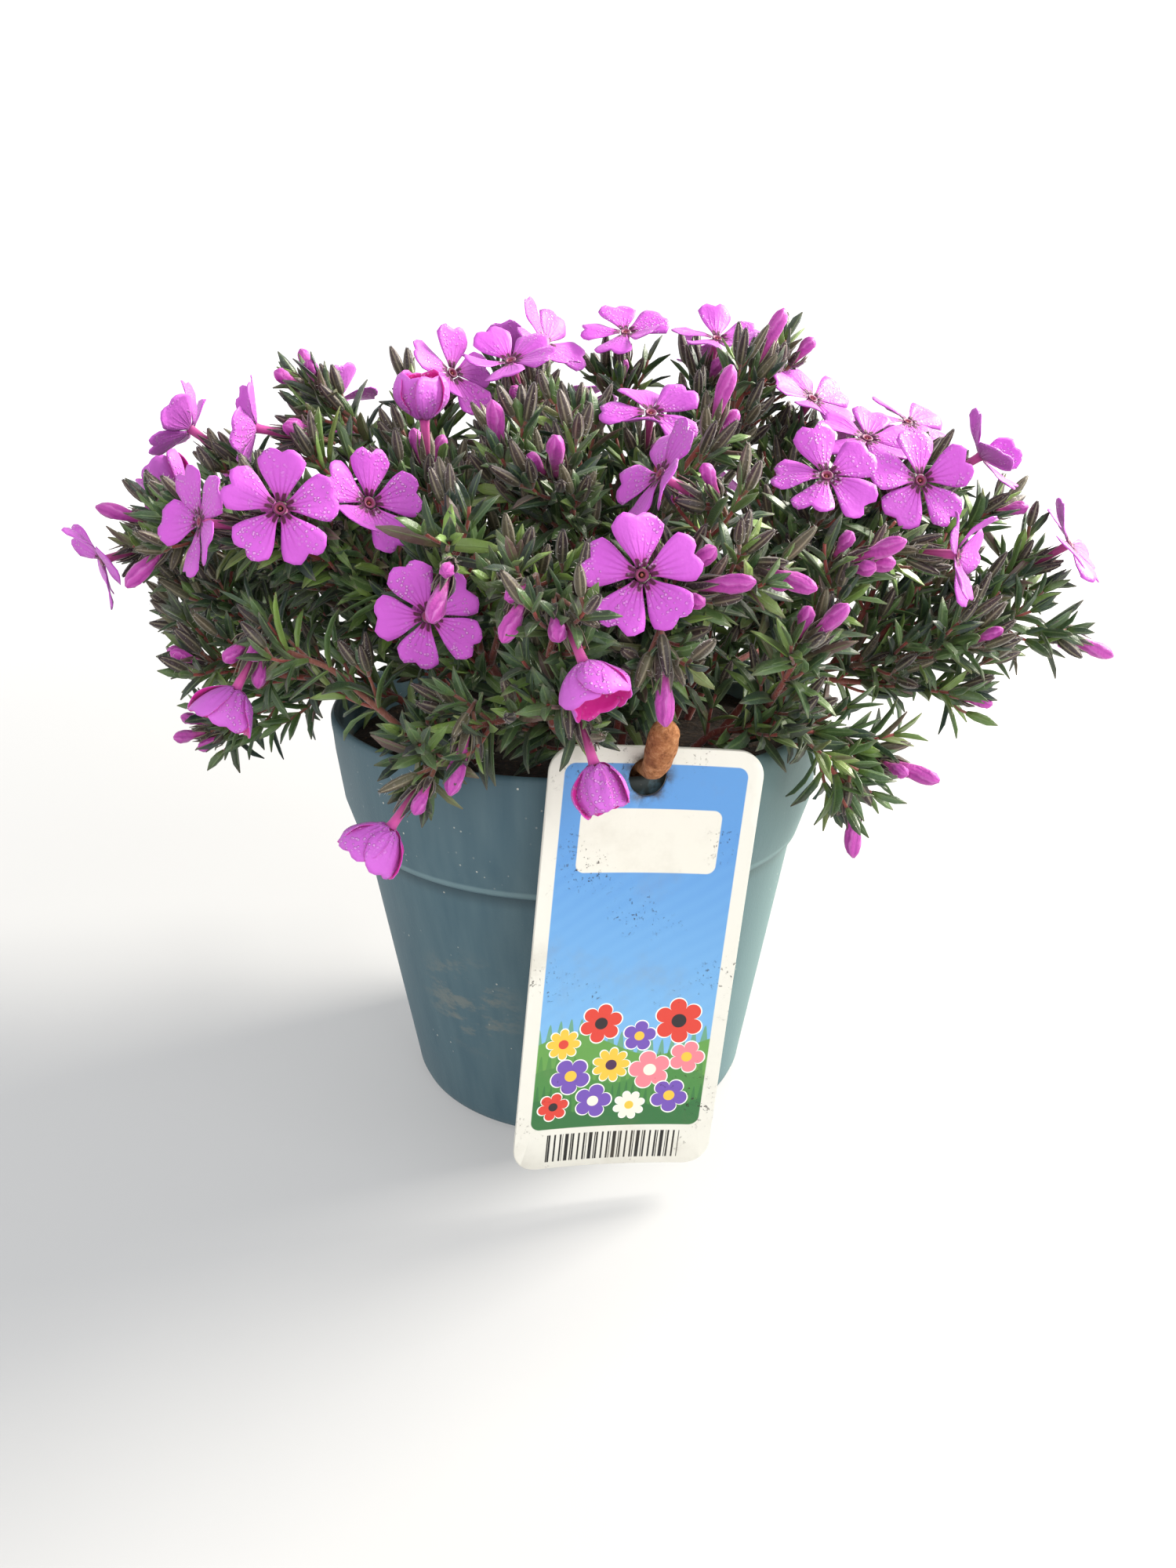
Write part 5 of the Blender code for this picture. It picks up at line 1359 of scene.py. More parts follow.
class Value:
    """A shader socket on which arithmetic works: each operation adds its Math node."""

    def __init__(self, paint, socket):
        self.paint, self.socket = paint, socket

    def math(self, operation, *others):
        """A Math node that works on this value and any others, in order."""
        sockets = dict(enumerate((self, *others)))
        return self.paint.node("ShaderNodeMath", {"operation": operation}, sockets)

    def __add__(self, other):
        return self.math("ADD", other)

    def __sub__(self, other):
        return self.math("SUBTRACT", other)

    def __rsub__(self, other):
        return self.paint.node("ShaderNodeMath", {"operation": "SUBTRACT"}, {0: other, 1: self})

    def __mul__(self, other):
        return self.math("MULTIPLY", other)

    def __abs__(self):
        return self.math("ABSOLUTE")

    def __pow__(self, other):
        return self.math("POWER", other)

    __radd__, __rmul__ = __add__, __mul__

    def most(self, other):
        """The larger of this value and another."""
        return self.math("MAXIMUM", other)

    def step(self, low, high):
        """0 below low, 1 above high, and a smooth rise between them."""
        sockets = {0: self, 1: low, 2: high}
        return self.paint.node("ShaderNodeMapRange", {"interpolation_type": "SMOOTHSTEP"}, sockets)


class Paint:
    """Builds one material round a Principled shader. Constants are set on the shader's own sockets."""

    def __init__(self, name, **constants):
        self.material = bpy.data.materials.new(name)
        self.material.use_nodes = True
        self.tree = self.material.node_tree
        self.shader = self.tree.nodes["Principled BSDF"]
        for socket, value in constants.items():
            self.shader.inputs[socket.replace("_", " ")].default_value = value

    def node(self, kind, settings, sockets, output=0):
        """Adds a node, sets what it needs first, and gives its sockets their values or links."""
        made = self.tree.nodes.new(kind)
        for name, value in settings.items():
            if name == "stops":
                self.stops(made.color_ramp, value)
            else:
                setattr(made, name, value)
        for name, value in sockets.items():
            if isinstance(value, Value):
                self.tree.links.new(value.socket, made.inputs[name])
            else:
                made.inputs[name].default_value = value
        return Value(self, made.outputs[output])

    def stops(self, ramp, stops):
        """Gives a ramp its stops, each a place and a colour."""
        while len(ramp.elements) < len(stops):
            ramp.elements.new(0.5)
        for element, (place, colour) in zip(ramp.elements, stops):
            element.position = place
            element.color = (*colour, 1.0)

    def mark(self, name):
        """A number kept on the piece's points."""
        return self.node("ShaderNodeAttribute", {"attribute_name": name}, {}, "Fac")

    def place(self):
        """Object coordinates, in metres."""
        return self.node("ShaderNodeTexCoord", {}, {}, "Object")

    def coordinate(self, axis):
        """One object coordinate: 0, 1 and 2 stand for X, Y and Z."""
        return self.node("ShaderNodeSeparateXYZ", {}, {0: self.place()}, axis)

    def distance(self, point):
        """How far a place lies from a point, in metres."""
        sockets = {0: self.place(), 1: point}
        return self.node("ShaderNodeVectorMath", {"operation": "DISTANCE"}, sockets, "Value")

    def noise(self, scale, detail=2.0, rough=0.5, stretch=None):
        """Noise with about one lump in each 1/scale metres."""
        vector = self.place()
        if stretch:
            vector = self.node("ShaderNodeMapping", {}, {"Vector": vector, "Scale": stretch})
        sockets = {"Vector": vector, "Scale": scale, "Detail": detail, "Roughness": rough}
        return self.node("ShaderNodeTexNoise", {}, sockets, "Fac")

    def cells(self, scale):
        """Distance to the nearest of scattered points, about 1/scale metres apart."""
        sockets = {"Vector": self.place(), "Scale": scale}
        return self.node("ShaderNodeTexVoronoi", {"feature": "F1"}, sockets, 0)

    def mix(self, factor, low, high):
        """A colour between two, by a factor."""
        low, high = (value if isinstance(value, Value) else (*value, 1.0) for value in (low, high))
        return self.node("ShaderNodeMix", {"data_type": "RGBA"}, {0: factor, 6: low, 7: high}, 2)

    def ramp(self, factor, *stops):
        """A colour that runs through stops, each a place and a colour, by a factor."""
        return self.node("ShaderNodeValToRGB", {"stops": stops}, {0: factor})

    def bump(self, height, depth):
        """A bump of a given depth in metres."""
        return self.node("ShaderNodeBump", {}, {"Height": height, "Distance": depth, "Strength": 1.0})

    def finish(self, **links):
        """Links values to the shader's sockets and returns the material."""
        for name, value in links.items():
            self.tree.links.new(value.socket, self.shader.inputs[name.replace("_", " ")])
        return self.material


def linear(red, green, blue):
    """A linear colour from its values of 0 to 255 as seen on a screen."""
    return tuple(((c / 255 + 0.055) / 1.055) ** 2.4 if c > 10 else c / 3294 for c in (red, green, blue))


def toned(colour, share):
    """A colour made darker or lighter."""
    return tuple(share * c for c in colour)


# Places on the plastic, in metres: the painted shadow under the collar, the collar's lip with its painted
# highlight, the middle of a rubbed patch, and where the painted sunlight on the side turned to the sun lamp
# starts and is full.
SHADOW_FOOT = 0.0705
SHADOW_FULL = 0.0748
SHADOW_TOP = 0.0752
LIP = 0.0764
RUBBED = (-0.027, -0.044, 0.040)
SUNLIT_SPAN = (0.012, 0.062)


def pot_plastic(colour):
    """Moulded teal plastic: a fine grain, faint upright drag marks, pale scuffs, brown rub marks and dust,
    with painted shade under the collar and behind the label's slot, a painted highlight on the collar's lip,
    and painted sunlight on the side towards the sun lamp.
    """
    paint = Paint("pot_plastic", Specular_IOR_Level=0.4)
    cloud = paint.noise(35.0, 4.0)
    drag = paint.noise(260.0, 2.0, stretch=(1.0, 1.0, 0.06))
    dust = (1 - paint.cells(420.0)).step(0.86, 0.93) * paint.noise(60.0, 2.0).step(0.52, 0.66)
    rub = paint.noise(55.0, 5.0, 0.7, (1.0, 1.0, 0.6)).step(0.60, 0.72) * paint.noise(14.0).step(0.5, 0.6)
    shade = paint.mix(cloud, toned(colour, 0.90), toned(colour, 1.10))
    shade = paint.mix(drag * 0.22, shade, linear(150, 172, 172))
    shade = paint.mix(rub * 0.5, shade, linear(140, 124, 100))
    shade = paint.mix(dust * 0.8, shade, linear(214, 212, 200))
    height = paint.coordinate(2)
    # Painted shadow: a dark band on the body under the collar's overhang.
    collar_shadow = height.step(SHADOW_FOOT, SHADOW_FULL) * (SHADOW_TOP - height).step(0.0, 0.0003)
    # Painted highlight: a pale line along the collar's lip.
    lip_highlight = (0.0011 - abs(height - LIP)).step(0.0, 0.0008)
    shade = paint.mix(collar_shadow * 0.55, shade, toned(colour, 0.3))
    shade = paint.mix(lip_highlight * 0.3, shade, linear(150, 178, 180))
    front = paint.distance(RUBBED)
    patchy = paint.noise(110.0, 5.0, 0.7, (0.6, 0.6, 1.3)).step(0.47, 0.6)
    smudge = patchy * (0.019 - front).step(0.0, 0.012)
    shade = paint.mix(smudge * 0.36, shade, linear(142, 138, 122))
    # Painted sunlight: the side towards the sun lamp is painted paler and greener.
    painted_sun = paint.coordinate(0).step(*SUNLIT_SPAN)
    shade = paint.mix(painted_sun * 0.5, shade, linear(124, 152, 142))
    # Painted shade: the plastic seen through the label's slot is painted near black in broken patches.
    top, right, below, _ = label_axes()
    behind = (top + right * slot_shift() + below * (SLOT_TOP_EDGE + 0.5 * SLOT_HEIGHT)) * MM
    far = paint.distance(behind)
    slot_shade = (0.0125 - far).step(0.0, 0.005) * paint.noise(300.0, 3.0).step(0.3, 0.5)
    shade = paint.mix(slot_shade * 0.85, shade, linear(34, 36, 26))
    grain = paint.noise(1400.0, 3.0)
    return paint.finish(Base_Color=shade, Roughness=0.42 + 0.16 * cloud + 0.12 * drag,
                        Normal=paint.bump(grain + 0.8 * drag, 0.00006))


def potting_soil():
    """Near-black peat with brown crumbs and a few pale fibres."""
    paint = Paint("potting_soil", Specular_IOR_Level=0.25)
    crumbs = paint.noise(700.0, 5.0, 0.65)
    fibre = paint.noise(300.0, 3.0, stretch=(1.0, 0.2, 1.0)).step(0.68, 0.74)
    shade = paint.ramp(crumbs, (0.3, linear(16, 12, 9)), (0.55, linear(44, 34, 26)),
                       (0.75, linear(92, 72, 54)))
    shade = paint.mix(fibre * 0.6, shade, linear(140, 112, 80))
    return paint.finish(Base_Color=shade, Roughness=0.75 + 0.25 * crumbs, Normal=paint.bump(crumbs, 0.0012))


def peg_brown():
    """Brown pressed fibre, pitted and dull, with darker patches."""
    paint = Paint("peg_brown", Specular_IOR_Level=0.2)
    pits = paint.noise(900.0, 5.0, 0.7)
    cloud = paint.noise(160.0, 3.0)
    shade = paint.ramp(pits, (0.30, linear(112, 66, 40)), (0.52, linear(176, 118, 76)),
                       (0.72, linear(206, 156, 112)))
    shade = paint.mix(cloud.step(0.55, 0.75) * 0.5, shade, linear(110, 62, 34))
    return paint.finish(Base_Color=shade, Roughness=0.7 + 0.3 * pits, Normal=paint.bump(pits, 0.0004))


def leaf_green(colour):
    """Dark hairy leaves: a pale midrib and a paler foot, some of them yellow-green, some tinged purple."""
    paint = Paint("leaf_green", Specular_IOR_Level=0.6, Sheen_Weight=0.12, Sheen_Roughness=0.4)
    tone, along, across = paint.mark("tone"), paint.mark("along"), abs(paint.mark("across"))
    fuzz = paint.noise(1800.0, 3.0)
    shade = paint.ramp(tone, (0.0, linear(36, 54, 46)), (0.35, colour), (0.72, linear(88, 116, 62)),
                       (0.88, linear(128, 160, 72)), (1.0, linear(106, 84, 76)))
    dusk = paint.noise(45.0, 3.0).step(0.5, 0.68)
    shade = paint.mix(dusk * 0.45, shade, linear(70, 56, 56))
    shade = paint.mix((1 - across).step(0.72, 0.98) * 0.35, shade, linear(150, 178, 112))
    shade = paint.mix((1 - along).step(0.6, 1.0) * 0.5, shade, linear(132, 158, 74))
    shade = paint.mix(along.step(0.8, 1.0) * 0.35, shade, linear(120, 96, 88))
    shade = paint.mix(fuzz.step(0.55, 0.8) * 0.22, shade, linear(176, 190, 170))
    return paint.finish(Base_Color=shade, Roughness=0.30 + 0.25 * fuzz,
                        Normal=paint.bump(fuzz + (1 - across).step(0.8, 1.0), 0.00012))


def stem_brown():
    """Red-brown stems with a bloom of fine pale hairs."""
    paint = Paint("stem_brown", Specular_IOR_Level=0.35, Sheen_Weight=0.5, Sheen_Roughness=0.5)
    tone = paint.mark("tone")
    fuzz = paint.noise(1600.0, 3.0, stretch=(1.0, 1.0, 0.4))
    shade = paint.ramp(tone, (0.0, linear(128, 52, 46)), (0.5, linear(146, 66, 56)),
                       (1.0, linear(96, 76, 56)))
    shade = paint.mix(fuzz.step(0.5, 0.75) * 0.3, shade, linear(196, 150, 132))
    return paint.finish(Base_Color=shade, Roughness=0.5 + 0.2 * fuzz, Normal=paint.bump(fuzz, 0.00015))


def sepal_brown():
    """Purple-brown sepals with pale thin margins and a hairy bloom."""
    paint = Paint("sepal_brown", Specular_IOR_Level=0.5, Sheen_Weight=0.25, Sheen_Roughness=0.4)
    tone, along, across = paint.mark("tone"), paint.mark("along"), abs(paint.mark("across"))
    fuzz = paint.noise(2200.0, 3.0)
    shade = paint.ramp(tone, (0.0, linear(44, 28, 36)), (0.6, linear(62, 44, 44)), (1.0, linear(86, 80, 58)))
    shade = paint.mix(across.step(0.55, 1.0) * 0.65, shade, linear(156, 146, 120))
    shade = paint.mix((1 - along).step(0.5, 1.0) * 0.3, shade, linear(108, 116, 74))
    shade = paint.mix(fuzz.step(0.52, 0.78) * 0.22, shade, linear(190, 182, 178))
    return paint.finish(Base_Color=shade, Roughness=0.42 + 0.2 * fuzz, Normal=paint.bump(fuzz, 0.00012))


def hair_silver():
    """The short pale hairs on stems and sepals."""
    paint = Paint("hair_silver", Roughness=0.5, Sheen_Weight=0.3)
    shade = paint.mix(paint.mark("tone"), linear(206, 196, 190), linear(236, 230, 222))
    return paint.finish(Base_Color=shade)


def petal_pink(colour):
    """Mauve pink petals: faint veins along them, a crimson star of two dashes at the foot of each, paler
    backs, and fine beads of water whose paler colour is a painted highlight."""
    paint = Paint("petal_pink", Specular_IOR_Level=0.35, Sheen_Weight=0.08, Sheen_Roughness=0.5)
    along, across, tone, back = (paint.mark(name) for name in ("along", "across", "tone", "back"))
    face, cup = 1 - back, paint.mark("cup")
    vein = paint.noise(900.0, 2.0)
    pale = tuple(min(1.0, 1.2 * c + 0.01) for c in colour)
    shade = paint.mix(0.35 * tone + 0.6 * along * (0.3 + vein), colour, pale)
    shade = paint.mix((paint.noise(90.0, 2.0) - 0.35) * 0.8, shade, toned(colour, 0.7))
    shade = paint.mix(back * 0.35, shade, linear(200, 112, 206))
    shade = paint.mix(face * cup * 0.85, shade, linear(214, 28, 142))
    ribs = (across * 19.0 + 1.4 * vein).math("SINE").step(0.2, 1.0) * (1 - along).step(0.15, 0.9)
    shade = paint.mix(ribs * 0.4, shade, linear(150, 34, 140))
    spoke = (1 - abs(abs(across) - 0.47) * 2.1).step(0.0, 0.7)
    near = (0.085 + 0.085 * spoke + 0.05 * (vein - 0.5) - along).step(0.0, 0.035) * (1 - cup) * face
    shade = paint.mix((0.30 - along).step(0.0, 0.22) * face * 0.6, shade, linear(158, 34, 132))
    shade = paint.mix(near * (0.6 + 0.4 * spoke), shade, linear(78, 2, 50))
    # The beads of water are real in roughness and bump; their paler colour is a painted highlight.
    beads_and_glints = (0.40 - paint.cells(1100.0)).step(0.0, 0.16) * paint.noise(120.0).step(0.42, 0.6)
    shade = paint.mix(beads_and_glints * 0.4, shade, linear(240, 190, 240))
    return paint.finish(Base_Color=shade, Roughness=0.48 - 0.36 * beads_and_glints + 0.1 * vein,
                        Normal=paint.bump(beads_and_glints + 0.6 * vein + 0.4 * ribs, 0.00022))


def tube_pink():
    """The flower's tube: deep pink, redder towards its foot, with a dark ring round the throat."""
    paint = Paint("tube_pink", Specular_IOR_Level=0.4, Sheen_Weight=0.3)
    along = paint.mark("along")
    shade = paint.ramp(along, (0.0, linear(140, 50, 92)), (0.3, linear(196, 70, 150)),
                       (0.44, linear(170, 46, 134)), (0.54, linear(84, 4, 52)), (0.68, linear(120, 24, 84)),
                       (0.78, linear(150, 54, 96)), (0.9, linear(120, 44, 52)), (1.0, linear(60, 10, 20)))
    return paint.finish(Base_Color=shade, Normal=paint.bump(paint.noise(1500.0), 0.0001))


def anther_orange():
    """The small dusty anthers in the throat."""
    paint = Paint("anther_orange", Roughness=0.8)
    grain = paint.noise(3000.0)
    return paint.finish(Base_Color=paint.ramp(grain, (0.3, linear(110, 26, 60)), (0.7, linear(190, 112, 84))))


def bud_pink(colour):
    """Furled buds: deeper pink in the folds and towards the foot, finely hairy."""
    paint = Paint("bud_pink", Specular_IOR_Level=0.4, Sheen_Weight=0.2, Sheen_Roughness=0.4)
    along, across, tone = paint.mark("along"), paint.mark("across"), paint.mark("tone")
    fuzz = paint.noise(1500.0, 3.0)
    shade = paint.mix(0.3 * tone + 0.7 * fuzz, toned(colour, 0.62), colour)
    shade = paint.mix((1 - across).step(0.55, 1.0) * 0.6, shade, linear(140, 36, 134))
    shade = paint.mix(across.step(0.6, 1.0) * 0.35, shade, linear(232, 158, 226))
    shade = paint.mix((1 - along).step(0.45, 0.9) * 0.7, shade, linear(196, 76, 140))
    return paint.finish(Base_Color=shade, Roughness=0.42 + 0.2 * fuzz, Normal=paint.bump(fuzz, 0.0002))


RED, GOLD, VIOLET = linear(214, 62, 48), linear(242, 190, 62), linear(112, 78, 172)
ROSE, CREAM, PLUM, DARK = linear(236, 128, 140), linear(250, 240, 214), linear(70, 32, 74), linear(40, 30, 34)
# The printed hills, far to near: the crest's middle, swing, pace and shift, and the hill's green.
HILLS = (
    (72.0, 3.0, 0.16, 0.4, linear(96, 152, 70)),
    (80.0, 2.4, 0.22, 2.0, linear(70, 132, 62)),
    (88.0, 2.0, 0.3, 4.2, linear(46, 108, 56)),
)
# The printed flowers: place across and down the card, size, petals, turn, and colours of petals and heart.
FLOWERS = (
    (-14.5, 71.5, 3.0, 8, 0.0, GOLD, RED),
    (-6.0, 66.5, 3.8, 6, 1.0, RED, DARK),
    (3.5, 70.0, 3.0, 5, 0.5, VIOLET, GOLD),
    (12.5, 66.0, 4.4, 6, 2.0, RED, DARK),
    (15.5, 75.5, 3.2, 5, 0.0, ROSE, GOLD),
    (-12.0, 80.0, 3.6, 5, 2.2, VIOLET, GOLD),
    (-2.5, 77.5, 3.4, 9, 0.3, GOLD, PLUM),
    (7.0, 79.0, 3.8, 5, 1.4, ROSE, CREAM),
    (-15.5, 88.0, 2.8, 6, 0.8, RED, DARK),
    (-6.0, 87.0, 3.4, 5, 0.2, VIOLET, CREAM),
    (3.0, 88.5, 2.8, 8, 1.2, CREAM, GOLD),
    (12.5, 86.0, 3.4, 5, 2.6, VIOLET, GOLD),
)


def label_print(colour):
    """The printed card. A cream border frames a blue panel with faint slanting waves. The panel has a bare
    rounded box near its top, and plain round-petalled flowers on green hills at its foot. Below it stand
    plain dark bars. Specks of soil lie over it all."""
    paint = Paint("label_print", Specular_IOR_Level=0.5, Roughness=0.35)
    across, down, back = paint.mark("across"), paint.mark("down"), paint.mark("back")

    def box(x0, x1, y0, y1, corner):
        """1 inside a rounded box, 0 outside it."""
        dx = (abs(across - (x0 + x1) / 2) - ((x1 - x0) / 2 - corner)).most(0.0)
        dy = (abs(down - (y0 + y1) / 2) - ((y1 - y0) / 2 - corner)).most(0.0)
        return (corner - (dx * dx + dy * dy) ** 0.5).step(-0.12, 0.12)

    def flower(shade, x, y, size, petals, turn, tint, heart):
        """Paints a flower whose edge swells petals times round, and its heart."""
        dx, dy, size = across - x, down - y, 1.4 * size
        far = (dx * dx + dy * dy) ** 0.5
        swell = abs((dy.math("ARCTAN2", dx) * (petals / 2) + turn).math("COSINE")) ** 0.5
        edge = size * (0.55 + 0.4 * swell)
        shade = paint.mix((edge + 0.3 - far).step(0.0, 0.15), shade, linear(246, 244, 236))
        shade = paint.mix((edge - far).step(0.0, 0.15), shade, tint)
        return paint.mix((size * 0.3 - far).step(0.0, 0.15), shade, heart)

    waves = ((across * 0.55 + down * 0.8) * 1.9 + paint.noise(40.0) * 6.0).math("SINE")
    sky = paint.mix((down - 22.0) * (1 / 60.0) + 0.04 * waves, colour, linear(126, 182, 224))
    for base, swing, pace, shift, green in HILLS:
        line = (across * pace + shift).math("SINE") * swing + base
        sky = paint.mix((down - line).step(-0.15, 0.15), sky, green)
        blade = (across * (9.0 * pace + 1.1) + shift).math("SINE") * 2.6 + line - 1.4
        sky = paint.mix((down - blade).step(-0.15, 0.15) * 0.75, sky, green)
    for row in FLOWERS:
        sky = flower(sky, *row)
    card = linear(226, 223, 212)
    shade = paint.mix(box(*PANEL), card, sky)
    shade = paint.mix(box(*BARE_BOX), shade, linear(226, 222, 210))
    bars = ((across * 4.3).math("SINE") + (across * 9.7 + 1.0).math("SINE") * 0.8).step(0.05, 0.15)
    shade = paint.mix(bars * box(*BAR_STRIP), shade, linear(12, 11, 11))
    shade = paint.mix(back.step(0.4, 0.6), shade, card)
    grime = paint.noise(55.0, 5.0, 0.65).step(0.5, 0.8) * 0.22
    shade = paint.mix(grime, shade, linear(140, 124, 98))
    slot_x = (across - slot_shift()) * (2 / SLOT_WIDTH)
    slot_y = (down - SLOT_TOP_EDGE - SLOT_HEIGHT / 2) * (2 / SLOT_HEIGHT)
    slot = (slot_x**2.0 + slot_y**2.0) ** 0.5
    wet = (1.7 - slot).step(0.0, 0.75) * paint.noise(240.0, 4.0, 0.7).step(0.34, 0.62)
    shade = paint.mix(wet * 0.85, shade, linear(66, 56, 40))
    speck = paint.noise(900.0, 4.0, 0.75).step(0.60, 0.65) * paint.noise(60.0, 2.0).step(0.5, 0.66)
    shade = paint.mix(speck * 0.85, shade, linear(58, 46, 34))
    return paint.finish(Base_Color=shade, Normal=paint.bump(speck + 0.3 * paint.noise(500.0), 0.00012))


def floor_white():
    """The plain pale floor, which glows a little and more so far out, like a lit studio sweep."""
    paint = Paint("floor_white", Roughness=0.9, Specular_IOR_Level=0.1, Emission_Strength=1.0)
    reach = paint.node("ShaderNodeVectorMath", {"operation": "LENGTH"}, {0: paint.place()}, "Value")
    glow = paint.mix(reach.step(0.15, 1.5), (0.29, 0.29, 0.29), (0.86, 0.86, 0.86))
    shade = paint.mix(paint.noise(3.0), linear(155, 155, 155), linear(158, 158, 158))
    return paint.finish(Base_Color=shade, Emission_Color=glow)


# Settings.


class PhloxPotSettings(bpy.types.PropertyGroup):
    """Colours of the pot and its label, and how many faces go round the pot."""

    plastic: FloatVectorProperty(name="Pot colour", description="Colour of the pot's moulded plastic",
                                 subtype="COLOR", size=3, min=0, max=1, default=linear(58, 88, 101))
    panel: FloatVectorProperty(name="Panel colour", description="Colour of the label's printed panel",
                               subtype="COLOR", size=3, min=0, max=1, default=linear(88, 146, 206))
    facets: IntProperty(name="Facets", description="Number of faces round the pot", default=144, min=24,
                        max=512)


class PhloxPlantSettings(bpy.types.PropertyGroup):
    """Colours of the plant."""

    leaf: FloatVectorProperty(name="Leaf colour", description="Main colour of the leaves", subtype="COLOR",
                              size=3, min=0, max=1, default=linear(62, 90, 52))
    petal: FloatVectorProperty(name="Petal colour", description="Main colour of the petals", subtype="COLOR",
                               size=3, min=0, max=1, default=linear(196, 84, 198))
    bud: FloatVectorProperty(name="Bud colour", description="Main colour of the furled buds", subtype="COLOR",
                             size=3, min=0, max=1, default=linear(204, 78, 184))


class PhloxStageSettings(bpy.types.PropertyGroup):
    """The lights, the surroundings and the camera."""

    sun: FloatProperty(name="Sun power", description="Power of the main light", default=45.0, min=0,
                       unit="POWER")
    fill: FloatProperty(name="Fill power", description="Power of the soft light from the front", default=9.0,
                        min=0, unit="POWER")
    sky: FloatProperty(name="Surround", description="Brightness of the surroundings", default=0.5, min=0)
    lens: FloatProperty(name="Lens", description="Focal length of the camera", default=27.0, min=1,
                        unit="CAMERA")


# Operators.


class PHLOX_OT_pot(bpy.types.Operator):
    """Makes the pot, with its collar, rolled rim, drainage notches and drain holes"""

    bl_idname = "phlox.pot"
    bl_label = "Pot"

    def execute(self, context):
        settings = context.scene.phlox_pot
        rings = turned_rings(round_profile(pot_marks(), 6.0), settings.facets)
        blank = plain_object("blank", single(rings).mesh("blank"), ())
        helpers = [blank]
        for cutters in drainage_cutters():
            helpers.append(plain_object("cutter", cutters.mesh("cutter"), ()))
            cut = blank.modifiers.new("drainage", "BOOLEAN")
            cut.operation, cut.object = "DIFFERENCE", helpers[-1]
        graph = context.evaluated_depsgraph_get()
        mesh = bpy.data.meshes.new_from_object(blank.evaluated_get(graph))
        for helper in helpers:
            bpy.data.objects.remove(helper)
        mesh.shade_smooth()
        mesh.set_sharp_from_angle(angle=math.radians(40))
        mesh.materials.clear()
        pot = plain_object("moulded_pot", mesh, [pot_plastic(settings.plastic)])
        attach(pot, "root")
        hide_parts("pot")
        return {"FINISHED"}


class PHLOX_OT_soil(bpy.types.Operator):
    """Makes the crumbly potting soil"""

    bl_idname = "phlox.soil"
    bl_label = "Soil"

    def execute(self, context):
        rings = soil_rings(random.Random(SEED + 2))
        placed("crumbly_soil", single(rings), [potting_soil()], "potting_soil", "soil")
        return {"FINISHED"}


class PHLOX_OT_label(bpy.types.Operator):
    """Makes the printed label card and the peg that it hangs on"""

    bl_idname = "phlox.label"
    bl_label = "Label and peg"

    def execute(self, context):
        settings = context.scene.phlox_pot
        card = placed("printed_label", label_mass(), [label_print(settings.panel)], "label_card", "label")
        card.data.set_sharp_from_angle(angle=math.radians(50))
        placed("pressed_peg", single(peg_rings()), [peg_brown()], "peg_wood", "label_peg")
        return {"FINISHED"}


class PHLOX_OT_foliage(bpy.types.Operator):
    """Grows the leaves, stems, sepals and furled buds of each spray"""

    bl_idname = "phlox.foliage"
    bl_label = "Foliage"

    def execute(self, context):
        settings = context.scene.phlox_plant
        greens = [leaf_green(settings.leaf), stem_brown(), sepal_brown(), hair_silver()]
        pinks = [bud_pink(settings.bud)]
        blooms, sprays = plan_plant()
        for number, spray in enumerate(sprays, 1):
            growth = grow_spray(random.Random(SEED + 100 + number), spray, blooms)
            green, pink = spray_masses(growth, blooms, np.random.default_rng(SEED + number))
            placed(f"foliage_{number:02d}", green, greens, "foliage", f"leafy_spray_{number:02d}")
            if pink.count:
                placed(f"buds_{number:02d}", pink, pinks, "petals")
        return {"FINISHED"}


class PHLOX_OT_blooms(bpy.types.Operator):
    """Opens the five-petalled flowers"""

    bl_idname = "phlox.blooms"
    bl_label = "Blooms"

    def execute(self, context):
        settings = context.scene.phlox_plant
        finishes = [petal_pink(settings.petal), tube_pink(), anther_orange()]
        blooms, _ = plan_plant()
        for number, bloom in enumerate(blooms):
            mass = bloom_mass(bloom, random.Random(SEED + 300 + number))
            placed("flower_" + bloom["name"], mass, finishes, "petals", "bloom_" + bloom["name"])
        return {"FINISHED"}


